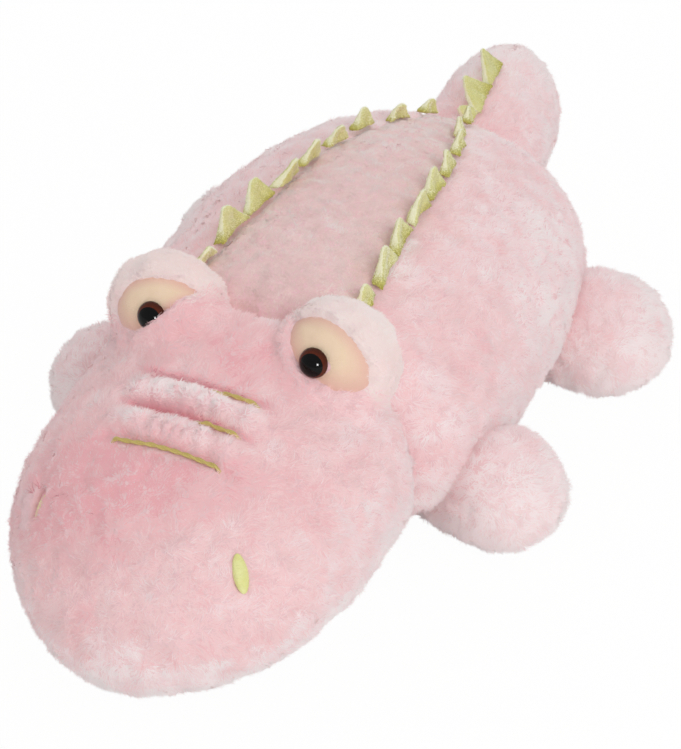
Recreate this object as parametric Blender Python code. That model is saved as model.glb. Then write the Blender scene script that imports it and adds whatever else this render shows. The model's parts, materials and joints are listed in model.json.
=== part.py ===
"""A plush crocodile, sewn from plush panels over fibre stuffing.

Metres, +Z up, nose towards -Y, the animal's left towards +X, standing on z = 0
with the middle of its length at the origin. Each bag (torso, head, tail, leg,
eye mound) is a form: rings of points lofted along its length. Its skin panels
are patches of that form with the plush's thickness, and its stuffing fills the
inside. The torso is the largest form, so it cuts the head, the tail and the legs.
"""

from collections.abc import Callable
from dataclasses import dataclass
from math import acos, asin, atan2, cos, degrees, pi, radians, sin, sqrt

import bmesh
import bpy
import numpy as np
from mathutils import Matrix, Vector
from mathutils.bvhtree import BVHTree

# Torso
BODY_LENGTH = 0.262
BODY_WIDTH = 0.206
BODY_HEIGHT = 0.129
BODY_WIDEST_Z = 0.050
BODY_FRONT_Z = 0.050
BODY_REAR_Z = 0.056
BODY_FRONT_DOME = 0.026
BODY_REAR_DOME = 0.040

# Head
HEAD_LENGTH = 0.1875
HEAD_WIDTH = 0.169
HEAD_HEIGHT = 0.124
HEAD_WIDEST_Z = 0.044
NOSE_Z = 0.036
NOSE_DOME = 0.058
HEAD_REAR_DOME = 0.030
NECK_OVERLAP = 0.037

# Tail
TAIL_LENGTH = 0.1325
TAIL_WIDTH = 0.076
TAIL_HEIGHT = 0.092
TAIL_CLEAR_Z = 0.014
TAIL_WIDEST_Z = 0.052
TAIL_TIP_Z = 0.056
TAIL_DOME = 0.046
TAIL_BEND = 0.012
TAIL_OVERLAP = 0.020

# Legs, measured from the torso's front and rear ends
LEG_ROOT_DEPTH = 0.040
LEG_DOME = 0.036
LEG_HEIGHT = 0.058
LEG_WIDEST_Z = 0.025
LEG_TIP_Z = 0.024
FRONT_LEG_BREADTH = 0.066
FRONT_LEFT_FROM_FRONT = 0.050
FRONT_LEFT_REACH = 0.0440
FRONT_LEFT_SPLAY = radians(8)
FRONT_RIGHT_FROM_FRONT = 0.042
FRONT_RIGHT_REACH = 0.0350
FRONT_RIGHT_SPLAY = radians(24)
REAR_LEG_BREADTH = 0.078
REAR_LEFT_FROM_REAR = 0.076
REAR_LEFT_REACH = 0.0490
REAR_LEFT_SPLAY = radians(-2)
REAR_RIGHT_FROM_REAR = 0.080
REAR_RIGHT_REACH = 0.0380
REAR_RIGHT_SPLAY = radians(10)

# Plush and what it lies on
PLUSH = 0.005
VELOUR = 0.002
CLEARANCE = 0.0003
SEAM_GAP = 0.0003
FLOOR_CUT = 0.0005

# Eye mounds, measured from the head's rear end and the snout's middle
MOUND_SPREAD = 0.0858
MOUND_FROM_REAR = 0.0325
MOUND_Z = 0.1109
MOUND_WIDTH = 0.0564
MOUND_LENGTH = 0.0488
MOUND_HEIGHT = 0.0576
MOUND_FACE_YAW = radians(10)
HOOD_EDGE = 0.0104

# Plastic eyes
EYE_DIAMETER = 0.014
EYE_DOME = 0.0052
EYE_SHANK = 0.004
EYE_SHANK_LENGTH = 0.013
EYE_YAW = radians(4)
EYE_PITCH = radians(30)
WASHER_DIAMETER = 0.015
WASHER_THICKNESS = 0.0016

# Nostrils and wrinkles
NOSTRIL_LENGTH = 0.017
NOSTRIL_WIDTH = 0.007
NOSTRIL_PROUD = 0.0014
NOSTRIL_SPREAD = 0.1018
NOSTRIL_FROM_NOSE = 0.0442
WRINKLE_FROM_NOSE = 0.0735
WRINKLE_PITCH = 0.0185
WRINKLE_COUNT = 3
WRINKLE_RIDGE = 0.0030
WRINKLE_HALF_WIDTH = 0.034
THREAD_LENGTH = 0.054
THREAD = 0.0025

# Spikes, and how far each leans over the back from square to it
SPIKE_SIZE_SHARES = (0.72, 1.00, 0.95, 0.90, 0.82, 0.74, 0.68, 0.62, 0.56)
SPIKE_FIRST_FROM_FRONT = 0.038
SPIKE_LAST_FROM_REAR = 0.032
SPIKE_GAP = 0.001
SPIKE_TIP = 0.0026
SPIKE_HEIGHT = 0.0135
SPIKE_THICKNESS = 0.0046
SPIKE_EDGE = 0.0020
SPIKE_SEAT = 0.003
LEFT_LEAN_DEGREES = (20, 16, 20, 6, 34, 12, 20, 24, 10)
RIGHT_LEAN_DEGREES = (42, 12, 6, 32, 36, 26, 12, 22, 8)
TAIL_SPIKE_START = 0.003
TAIL_SPIKE_BASE = 0.0215
TAIL_SPIKE_HEIGHT = 0.0145
TAIL_SPIKE_SIZE_SHARES = (0.55, 1.00, 0.96)
TAIL_LEAN_DEGREES = (30, 34, 30)

# Outlines along each form, from its front end to its rear end: (place share, share)
BODY_WIDTH_SHARES = (
    (0.00, 0.86),
    (0.12, 0.94),
    (0.27, 0.985),
    (0.43, 1.00),
    (0.58, 0.99),
    (0.73, 0.94),
    (0.85, 0.83),
    (1.00, 0.62),
)
BODY_TOP_SHARES = (
    (0.00, 0.975),
    (0.12, 0.985),
    (0.27, 1.00),
    (0.43, 1.00),
    (0.58, 0.975),
    (0.73, 0.915),
    (0.85, 0.84),
    (1.00, 0.75),
)
BACK_SEAM_SHARES = (
    (0.00, 0.45),
    (0.14, 0.44),
    (0.35, 0.345),
    (0.54, 0.33),
    (0.69, 0.265),
    (0.85, 0.155),
    (1.00, 0.08),
)
HEAD_WIDTH_SHARES = (
    (0.00, 0.62),
    (0.10, 0.71),
    (0.25, 0.85),
    (0.42, 0.955),
    (0.56, 1.00),
    (0.74, 1.00),
    (1.00, 0.94),
)
HEAD_TOP_SHARES = (
    (0.00, 0.50),
    (0.10, 0.66),
    (0.25, 0.78),
    (0.40, 0.85),
    (0.56, 0.915),
    (0.74, 0.965),
    (1.00, 1.00),
)
TAIL_WIDTH_SHARES = ((0.00, 1.00), (0.20, 1.00), (0.45, 0.97), (0.70, 0.90), (1.00, 0.76))
TAIL_TOP_SHARES = ((0.00, 0.88), (0.20, 0.92), (0.45, 0.99), (0.65, 1.00), (1.00, 0.96))
LEG_WIDTH_SHARES = ((0.00, 0.78), (0.30, 0.86), (0.60, 0.98), (0.80, 1.00), (1.00, 0.94))
LEG_TOP_SHARES = ((0.00, 0.98), (0.30, 1.00), (0.60, 1.00), (0.80, 0.97), (1.00, 0.90))

# Columns of points down one half of a ring, from the top of it to the bottom
BACK_COLUMNS = 2
FLANK_COLUMNS = 4
BODY_LOWER_DEGREES = (107, 124, 141, 158, 172, 180)
BELLY_COLUMNS = 3
HEAD_DEGREES = (0, 15, 30, 45, 60, 75, 90, 109, 128, 149, 171, 180)
CHIN_COLUMNS = 4
TAIL_DEGREES = (0, 28, 54, 78, 102, 128, 154, 180)
LEG_DEGREES = (0, 28, 54, 78, 104, 136, 168, 180)
MOUND_DEGREES = (0, 26, 52, 78, 104, 130, 155, 180)
BODY_POWERS = (1.0, 0.75)
HEAD_POWERS = (0.90, 0.92)
TAIL_POWERS = (1.0, 1.0)
LEG_POWERS = (1.0, 0.70)
MOUND_POWERS = (1.0, 1.0)

# Rings along each form
BODY_DOME_RINGS = 4
BODY_MIDDLE_RINGS = 6
HEAD_DOME_RINGS = 4
HEAD_REAR_RINGS = 3
TAIL_DOME_RINGS = 4
TAIL_MIDDLE_RINGS = 3
LEG_DOME_RINGS = 4
LEG_MIDDLE_RINGS = 2
EYEBALL_RINGS = 3
HOOD_RINGS = 4
ROUND_SIDES = 20
BEAD_SIDES = 12
BEAD_RINGS = 6
THREAD_POINTS = 9
SPIKE_TIP_POINTS = 4
CREASE_STEPS = 200

# Colours, sRGB
PINK = (0.90, 0.76, 0.78)
PINK_GREY = (0.87, 0.77, 0.78)
LIME = (0.80, 0.81, 0.48)
CREAM = (0.91, 0.82, 0.71)
THREAD_GREEN = (0.77, 0.73, 0.36)
NOSTRIL_GREEN = (0.87, 0.88, 0.56)
FIBRE_WHITE = (0.95, 0.95, 0.94)
EYE_BROWN = (0.28, 0.11, 0.05)
WASHER_WHITE = (0.90, 0.90, 0.88)

TOTAL_LENGTH = HEAD_LENGTH - NECK_OVERLAP + BODY_LENGTH - TAIL_OVERLAP + TAIL_LENGTH
NOSE_Y = -TOTAL_LENGTH / 2
HEAD_REAR_Y = NOSE_Y + HEAD_LENGTH
BODY_FRONT_Y = HEAD_REAR_Y - NECK_OVERLAP
BODY_REAR_Y = BODY_FRONT_Y + BODY_LENGTH
TAIL_FRONT_Y = BODY_REAR_Y - TAIL_OVERLAP
FILL_DEPTH = PLUSH + CLEARANCE


def smooth_value(shares, place):
    """Reads a table of (place, value) at a place, on a smooth curve through its points."""
    places = [point[0] for point in shares]
    values = [point[1] for point in shares]
    last = len(shares) - 1
    left = max(index for index in range(last) if places[index] <= max(place, places[0]))

    def slope(index):
        before, after = max(index - 1, 0), min(index + 1, last)
        return (values[after] - values[before]) / (places[after] - places[before])

    span = places[left + 1] - places[left]
    along = min(max((place - places[left]) / span, 0), 1)
    rise = values[left + 1] - values[left]
    start, end = slope(left) * span, slope(left + 1) * span
    square, cube = 3 * rise - 2 * start - end, start + end - 2 * rise
    return values[left] + along * (start + along * (square + along * cube))


def opening(distance, radius):
    """How far a rounded end has opened at a distance from its pole: 0 at the pole, 1 from the radius on."""
    if distance >= radius:
        return 1.0
    return sqrt(1 - (1 - distance / radius) ** 2)


def dome_places(radius, rings):
    """Distances from the pole at which the rings of a rounded end lie, evenly turned."""
    return [radius * (1 - cos(pi / 2 * ring / rings)) for ring in range(1, rings)]


def all_round(half_degrees):
    """Degrees all round a ring from those down one half of it."""
    return tuple(half_degrees) + tuple(360 - angle for angle in reversed(half_degrees[1:-1]))


@dataclass
class Form:
    """A closed bag: rings[row][column] of points between a front pole and a rear pole."""

    rings: np.ndarray
    front: np.ndarray
    rear: np.ndarray

    def points(self):
        """All points: the rings in order, then the front pole and the rear pole."""
        return np.concatenate([self.rings.reshape(-1, 3), self.front[None], self.rear[None]])

    def cells(self):
        """(row, column, corners) of each triangle, facing out. The front fan's row is -1."""
        rows, columns = self.rings.shape[:2]
        front, rear = rows * columns, rows * columns + 1
        cells = []
        for row in range(-1, rows):
            for column in range(columns):
                after = (column + 1) % columns
                a, b = row * columns + column, row * columns + after
                d, c = a + columns, b + columns
                if row == -1:
                    cells.append((row, column, (front, c, d)))
                elif row == rows - 1:
                    cells.append((row, column, (rear, a, b)))
                elif column < columns // 2:
                    cells += [(row, column, (a, b, c)), (row, column, (a, c, d))]
                else:
                    cells += [(row, column, (a, b, d)), (row, column, (b, c, d))]
        return cells

    def normals(self):
        """The outward direction at each ring point."""
        columns = self.rings.shape[1]
        ends = [np.repeat(pole[None, None], columns, 1) for pole in (self.front, self.rear)]
        rows = np.concatenate([ends[0], self.rings, ends[1]])
        along = rows[2:] - rows[:-2]
        around = np.roll(self.rings, -1, 1) - np.roll(self.rings, 1, 1)
        normals = np.cross(around, along)
        return normals / np.linalg.norm(normals, axis=2)[..., None]

    def grown(self, amount):
        """The form with its surface moved out: by one amount, or by one for each ring and pole in order."""
        amounts = np.broadcast_to(np.asarray(amount, float), (len(self.rings) + 2,))
        axis = (self.rear - self.front) / np.linalg.norm(self.rear - self.front)
        rings = self.rings + self.normals() * amounts[1:-1, None, None]
        return Form(rings, self.front - axis * amounts[0], self.rear + axis * amounts[-1])

    def placed(self, matrix):
        """The form turned and moved by a matrix."""
        turn = np.array(matrix.to_3x3())
        move = np.array(matrix.translation)
        return Form(self.rings @ turn.T + move, self.front @ turn.T + move, self.rear @ turn.T + move)

    def mesh(self):
        """Points and triangles of the whole bag."""
        return self.points(), [corners for _, _, corners in self.cells()]

    def tree(self):
        """A search tree of the surface, for finding where a line meets it."""
        points, faces = self.mesh()
        return BVHTree.FromPolygons([Vector(point) for point in points], faces)

    def seam(self, column, place):
        """The point, outward direction and direction along a column of points, at a distance along Y."""
        line = self.rings[:, column]
        row = int(np.clip(np.searchsorted(line[:, 1], place) - 1, 0, len(line) - 2))
        part = (place - line[row, 1]) / (line[row + 1, 1] - line[row, 1])
        normals = self.normals()[:, column]
        point = Vector(line[row] * (1 - part) + line[row + 1] * part)
        normal = Vector(normals[row] * (1 - part) + normals[row + 1] * part).normalized()
        along = Vector(line[row + 1] - line[row]).normalized()
        return point, normal, along


@dataclass
class Outline:
    """What gives each ring of a form its size, as functions of the distance from the front end."""

    length: float
    width: Callable
    top: Callable
    bottom: Callable
    widest_z: float
    front_z: float
    rear_z: float
    front_dome: float
    rear_dome: float
    degrees: Callable
    powers: tuple
    bend: Callable = lambda place: 0.0
    relief: Callable = lambda place, side: 0.0
    floor: float | None = None

    def ring(self, place):
        """The points of the ring at a distance from the front end."""
        opened = opening(place, self.front_dome) * opening(self.length - place, self.rear_dome)
        pole_z = self.front_z + (self.rear_z - self.front_z) * place / self.length
        half = self.width(place) / 2 * opened
        high = pole_z + (self.top(place) - pole_z) * opened
        low = pole_z + (self.bottom(place) - pole_z) * opened
        middle = pole_z + (self.widest_z - pole_z) * opened
        ring = []
        for angle in all_round(self.degrees(place)):
            across, up = sin(radians(angle)), cos(radians(angle))
            power = self.powers[0] if up >= 0 else self.powers[1]
            side = half * abs(across) ** power * (1 if across >= 0 else -1)
            reach = high - middle if up >= 0 else low - middle
            z = middle + reach * abs(up) ** power
            if up > 0:
                z += self.relief(place, side) * up
            if self.floor is not None:
                z = max(z, self.floor)
            ring.append((self.bend(place) + side, place, z))
        return ring

    def form(self, places):
        """The form with rings at these distances from the front end."""
        rings = np.array([self.ring(place) for place in places])
        front = np.array((self.bend(0), 0, self.front_z))
        rear = np.array((self.bend(self.length), self.length, self.rear_z))
        return Form(rings, front, rear)


def new_object(name, points, faces, material, parent):
    """A named object from points and faces, shaded smooth, that rides on its parent empty."""
    mesh = bpy.data.meshes.new(name)
    mesh.from_pydata([tuple(point) for point in points], [], faces)
    edit = bmesh.new()
    edit.from_mesh(mesh)
    bmesh.ops.recalc_face_normals(edit, faces=edit.faces)
    edit.to_mesh(mesh)
    edit.free()
    mesh.shade_smooth()
    mesh.set_sharp_from_angle(angle=radians(50))
    if material:
        mesh.materials.append(material)
    made = bpy.data.objects.new(name, mesh)
    bpy.context.scene.collection.objects.link(made)
    if parent:
        made.parent = parent
        made.matrix_parent_inverse = parent.matrix_world.inverted()
    return made


def new_material(name, colour, roughness):
    """A plain material of one sRGB colour."""
    material = bpy.data.materials.new(name)
    material.use_nodes = True
    shader = material.node_tree.nodes["Principled BSDF"]
    linear = [((value + 0.055) / 1.055) ** 2.4 for value in colour]
    shader.inputs["Base Color"].default_value = (*linear, 1)
    shader.inputs["Roughness"].default_value = roughness
    shader.inputs["Metallic"].default_value = 0
    return material


def new_empty(name, place, parent=None):
    """An empty that carries a body's pieces, at the body's joint."""
    empty = bpy.data.objects.new(name, None)
    empty.location = place
    bpy.context.scene.collection.objects.link(empty)
    if parent:
        empty.parent = parent
        empty.matrix_parent_inverse = parent.matrix_world.inverted()
    bpy.context.view_layer.update()
    return empty


def new_cutter(name, points, faces):
    """A hidden object that only cuts others."""
    cutter = new_object(name, points, faces, None, None)
    cutter.hide_render = True
    cutter.display_type = "WIRE"
    return cutter


def cut(target, *cutters):
    """Takes the cutters' volumes out of an object."""
    for cutter in cutters:
        modifier = target.modifiers.new("cut_by_" + cutter.name, "BOOLEAN")
        modifier.operation = "DIFFERENCE"
        modifier.solver = "EXACT"
        modifier.object = cutter


def skin_mesh(outer, inner, belongs):
    """A panel of skin: the cells of a form that belong to it, from the outer form in to the inner one.

    Its border points move in by half a seam gap, square to the border on both sides of the point.
    """
    points = outer.points()
    kept = [corners for row, column, corners in outer.cells() if belongs(row, column)]
    edges = {(face[i], face[(i + 1) % 3]) for face in kept for i in range(3)}
    facing = {}
    for face in kept:
        normal = np.cross(points[face[1]] - points[face[0]], points[face[2]] - points[face[0]])
        for i in range(3):
            facing[face[i], face[(i + 1) % 3]] = normal / np.linalg.norm(normal)
    border = [edge for edge in edges if edge[::-1] not in edges]
    inward = {}
    for start, end in border:
        square = np.cross(facing[start, end], points[end] - points[start])
        for corner in (start, end):
            inward.setdefault(corner, []).append(square / np.linalg.norm(square))
    moved = {}
    for corner, squares in inward.items():
        moved[corner] = np.linalg.pinv(np.array(squares)) @ np.full(len(squares), SEAM_GAP / 2)
    used = sorted({corner for face in kept for corner in face})
    place = {corner: index for index, corner in enumerate(used)}
    count = len(used)
    made = []
    for layer in (points, inner.points()):
        made += [layer[corner] + moved.get(corner, np.zeros(3)) for corner in used]
    faces = [tuple(place[corner] for corner in face) for face in kept]
    faces += [tuple(place[corner] + count for corner in reversed(face)) for face in kept]
    for start, end in sorted(border):
        a, b = place[start], place[end]
        if start < end:
            faces += [(b, a, b + count), (a, a + count, b + count)]
        else:
            faces += [(b, a, a + count), (b, a + count, b + count)]
    return made, faces


def half_column(column, half):
    """The column counted from the top down, alike on both sides."""
    return column if column < half else 2 * half - 1 - column


def turned_mesh(profile, sides):
    """Points and faces of a profile of (radius, height) turned about Z. Radius 0 closes an end."""
    points, faces, rows = [], [], []
    for radius, height in profile:
        if radius == 0:
            rows.append([len(points)] * sides)
            points.append((0, 0, height))
            continue
        rows.append(range(len(points), len(points) + sides))
        turns = [2 * pi * side / sides for side in range(sides)]
        points += [(radius * cos(turn), radius * sin(turn), height) for turn in turns]
    for upper, lower in zip(rows, rows[1:]):
        for side in range(sides):
            after = (side + 1) % sides
            corners = (upper[side], lower[side], lower[after], upper[after])
            faces.append(tuple(dict.fromkeys(corners)))
    return points, faces


def facing_matrix(place, up, along):
    """A frame at a place, with Z along up and X as near as can be to along."""
    z = up.normalized()
    x = (along - z * along.dot(z)).normalized()
    y = z.cross(x)
    return Matrix.Translation(place) @ Matrix((x, y, z)).transposed().to_4x4()


def moved_points(points, matrix):
    """The points turned and moved by a matrix."""
    return [matrix @ Vector(point) for point in points]


def body_half_width(place):
    """The torso's half width at a distance from its front end."""
    opened = opening(place, BODY_FRONT_DOME) * opening(BODY_LENGTH - place, BODY_REAR_DOME)
    return BODY_WIDTH / 2 * smooth_value(BODY_WIDTH_SHARES, place / BODY_LENGTH) * opened


def body_form():
    """The torso."""

    def columns(place):
        seam = degrees(asin(smooth_value(BACK_SEAM_SHARES, place / BODY_LENGTH)))
        back = [seam * column / BACK_COLUMNS for column in range(BACK_COLUMNS)]
        flank = [seam + (90 - seam) * column / FLANK_COLUMNS for column in range(FLANK_COLUMNS + 1)]
        return (*back, *flank, *BODY_LOWER_DEGREES)

    outline = Outline(
        length=BODY_LENGTH,
        width=lambda place: BODY_WIDTH * smooth_value(BODY_WIDTH_SHARES, place / BODY_LENGTH),
        top=lambda place: BODY_HEIGHT * smooth_value(BODY_TOP_SHARES, place / BODY_LENGTH),
        bottom=lambda place: -FLOOR_CUT,
        widest_z=BODY_WIDEST_Z,
        front_z=BODY_FRONT_Z,
        rear_z=BODY_REAR_Z,
        front_dome=BODY_FRONT_DOME,
        rear_dome=BODY_REAR_DOME,
        degrees=columns,
        powers=BODY_POWERS,
        floor=0,
    )
    middle = np.linspace(BODY_FRONT_DOME, BODY_LENGTH - BODY_REAR_DOME, BODY_MIDDLE_RINGS)
    places = dome_places(BODY_FRONT_DOME, BODY_DOME_RINGS) + list(middle)
    places += [BODY_LENGTH - place for place in reversed(dome_places(BODY_REAR_DOME, BODY_DOME_RINGS))]
    return outline.form(places).placed(Matrix.Translation((0, BODY_FRONT_Y, 0)))


def wrinkle_relief(place, side):
    """The folds across the snout: a crease at each thread and a ridge behind it."""
    turns = (place - WRINKLE_FROM_NOSE) / WRINKLE_PITCH
    if not -0.5 < turns < WRINKLE_COUNT - 1:
        return 0
    fade = max(0, 1 - (abs(side) / WRINKLE_HALF_WIDTH) ** 4)
    return WRINKLE_RIDGE * fade * sin(pi * max(turns, 0)) ** 2


def head_form(wrinkled):
    """The head and snout, with or without the folds across the snout."""
    outline = Outline(
        length=HEAD_LENGTH,
        width=lambda place: HEAD_WIDTH * smooth_value(HEAD_WIDTH_SHARES, place / HEAD_LENGTH),
        top=lambda place: HEAD_HEIGHT * smooth_value(HEAD_TOP_SHARES, place / HEAD_LENGTH),
        bottom=lambda place: -FLOOR_CUT,
        widest_z=HEAD_WIDEST_Z,
        front_z=NOSE_Z,
        rear_z=BODY_FRONT_Z,
        front_dome=NOSE_DOME,
        rear_dome=HEAD_REAR_DOME,
        degrees=lambda place: HEAD_DEGREES,
        powers=HEAD_POWERS,
        relief=wrinkle_relief if wrinkled else lambda place, side: 0.0,
        floor=0,
    )
    folds = [WRINKLE_FROM_NOSE + WRINKLE_PITCH * half / 2 for half in range(2 * WRINKLE_COUNT + 1)]
    rear = list(np.linspace(folds[-1], HEAD_LENGTH - HEAD_REAR_DOME, HEAD_REAR_RINGS)[1:])
    places = dome_places(NOSE_DOME, HEAD_DOME_RINGS) + [NOSE_DOME] + folds + rear
    places += [HEAD_LENGTH - place for place in reversed(dome_places(HEAD_REAR_DOME, HEAD_DOME_RINGS))]
    return outline.form(places).placed(Matrix.Translation((0, NOSE_Y, 0)))


def tail_form():
    """The tail, a blunt cone that bends a little to the animal's right."""
    outline = Outline(
        length=TAIL_LENGTH,
        width=lambda place: TAIL_WIDTH * smooth_value(TAIL_WIDTH_SHARES, place / TAIL_LENGTH),
        top=lambda place: TAIL_HEIGHT * smooth_value(TAIL_TOP_SHARES, place / TAIL_LENGTH),
        bottom=lambda place: TAIL_CLEAR_Z,
        widest_z=TAIL_WIDEST_Z,
        front_z=TAIL_WIDEST_Z,
        rear_z=TAIL_TIP_Z,
        front_dome=0,
        rear_dome=TAIL_DOME,
        degrees=lambda place: TAIL_DEGREES,
        powers=TAIL_POWERS,
        bend=lambda place: -TAIL_BEND * (place / TAIL_LENGTH) ** 2,
    )
    places = list(np.linspace(0, TAIL_LENGTH - TAIL_DOME, TAIL_MIDDLE_RINGS + 1))
    places += [TAIL_LENGTH - place for place in reversed(dome_places(TAIL_DOME, TAIL_DOME_RINGS))]
    return outline.form(places).placed(Matrix.Translation((0, TAIL_FRONT_Y, 0)))


def leg_form(side, along, reach, breadth, splay):
    """One leg: a flat-soled paddle that starts inside the torso and points outwards."""
    length = LEG_ROOT_DEPTH + reach
    outline = Outline(
        length=length,
        width=lambda place: breadth * smooth_value(LEG_WIDTH_SHARES, place / length),
        top=lambda place: LEG_HEIGHT * smooth_value(LEG_TOP_SHARES, place / length),
        bottom=lambda place: -FLOOR_CUT,
        widest_z=LEG_WIDEST_Z,
        front_z=LEG_WIDEST_Z,
        rear_z=LEG_TIP_Z,
        front_dome=0,
        rear_dome=LEG_DOME,
        degrees=lambda place: LEG_DEGREES,
        powers=LEG_POWERS,
        floor=0,
    )
    places = list(np.linspace(0, length - LEG_DOME, LEG_MIDDLE_RINGS + 1))
    places += [length - place for place in reversed(dome_places(LEG_DOME, LEG_DOME_RINGS))]
    heading = -splay if side > 0 else pi + splay
    outward = Vector((cos(heading), sin(heading), 0))
    flank = Vector((side * body_half_width(along - BODY_FRONT_Y), along, 0))
    place = Matrix.Translation(flank - outward * LEG_ROOT_DEPTH) @ Matrix.Rotation(heading - pi / 2, 4, "Z")
    return outline.form(places).placed(place)


def mound_frame(side):
    """The frame at an eye mound's centre. Its -Y looks out of the eyeball's face."""
    centre = Vector((side * MOUND_SPREAD / 2, HEAD_REAR_Y - MOUND_FROM_REAR, MOUND_Z))
    return Matrix.Translation(centre) @ Matrix.Rotation(side * MOUND_FACE_YAW, 4, "Z")


def mound_form(side):
    """One eye mound, an egg with a ring at the hood's edge."""
    outline = Outline(
        length=MOUND_LENGTH,
        width=lambda place: MOUND_WIDTH,
        top=lambda place: MOUND_HEIGHT / 2,
        bottom=lambda place: -MOUND_HEIGHT / 2,
        widest_z=0,
        front_z=0,
        rear_z=0,
        front_dome=MOUND_LENGTH / 2,
        rear_dome=MOUND_LENGTH / 2,
        degrees=lambda place: MOUND_DEGREES,
        powers=MOUND_POWERS,
    )
    edge = acos(2 * HOOD_EDGE / MOUND_LENGTH)
    turns = [edge * ring / EYEBALL_RINGS for ring in range(1, EYEBALL_RINGS + 1)]
    turns += [edge + (pi - edge) * ring / HOOD_RINGS for ring in range(1, HOOD_RINGS)]
    places = [MOUND_LENGTH / 2 * (1 - cos(turn)) for turn in turns]
    return outline.form(places).placed(mound_frame(side) @ Matrix.Translation((0, -MOUND_LENGTH / 2, 0)))


def make_body(parent, materials, form):
    """The torso's four panels and its stuffing."""
    inner = form.grown(-PLUSH)
    half = form.rings.shape[1] // 2
    last = len(form.rings) - 1
    belly = half - BELLY_COLUMNS

    def panel(columns):
        return lambda row, column: 1 <= row < last and columns(column)

    panels = {
        "back_panel": lambda column: half_column(column, half) < BACK_COLUMNS,
        "left_flank_panel": lambda column: BACK_COLUMNS <= column < belly,
        "right_flank_panel": lambda column: BACK_COLUMNS <= 2 * half - 1 - column < belly,
        "belly_panel": lambda column: half_column(column, half) >= belly,
    }
    for name, columns in panels.items():
        new_object(name, *skin_mesh(form, inner, panel(columns)), materials[name], parent)
    amounts = [0, 0] + [-FILL_DEPTH] * last + [0]
    new_object("body_stuffing", *form.grown(amounts).mesh(), materials["body_stuffing"], parent)


def make_head(parent, materials, form, smooth, body_cutter):
    """The head's two panels and its stuffing, cut by the torso."""
    inner = smooth.grown(-PLUSH)
    half = form.rings.shape[1] // 2
    last = len(form.rings) - 1
    chin = half - CHIN_COLUMNS
    panels = {
        "snout_top_panel": lambda row, column: row < last and half_column(column, half) < chin,
        "chin_panel": lambda row, column: row < last and half_column(column, half) >= chin,
    }
    for name, belongs in panels.items():
        cut(new_object(name, *skin_mesh(form, inner, belongs), materials[name], parent), body_cutter)
    fill = smooth.grown(-FILL_DEPTH).mesh()
    cut(new_object("head_stuffing", *fill, materials["head_stuffing"], parent), body_cutter)


def make_tail(parent, materials, form, body_cutter):
    """The tail's two panels and its stuffing, cut by the torso."""
    inner = form.grown(-PLUSH)
    half = form.rings.shape[1] // 2
    panels = {
        "tail_left_panel": lambda row, column: row >= 0 and column < half,
        "tail_right_panel": lambda row, column: row >= 0 and column >= half,
    }
    for name, belongs in panels.items():
        cut(new_object(name, *skin_mesh(form, inner, belongs), materials[name], parent), body_cutter)
    fill = form.grown(-FILL_DEPTH).mesh()
    cut(new_object("tail_stuffing", *fill, materials["tail_stuffing"], parent), body_cutter)


def make_leg(name, parent, materials, form, body_cutter):
    """One leg's skin cup and its stuffing, cut by the torso."""
    skin = skin_mesh(form, form.grown(-PLUSH), lambda row, column: row >= 0)
    cut(new_object(name + "_skin", *skin, materials["leg_skin"].copy(), parent), body_cutter)
    fill = form.grown(-FILL_DEPTH).mesh()
    cut(new_object(name + "_stuffing", *fill, materials["leg_stuffing"].copy(), parent), body_cutter)


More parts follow.
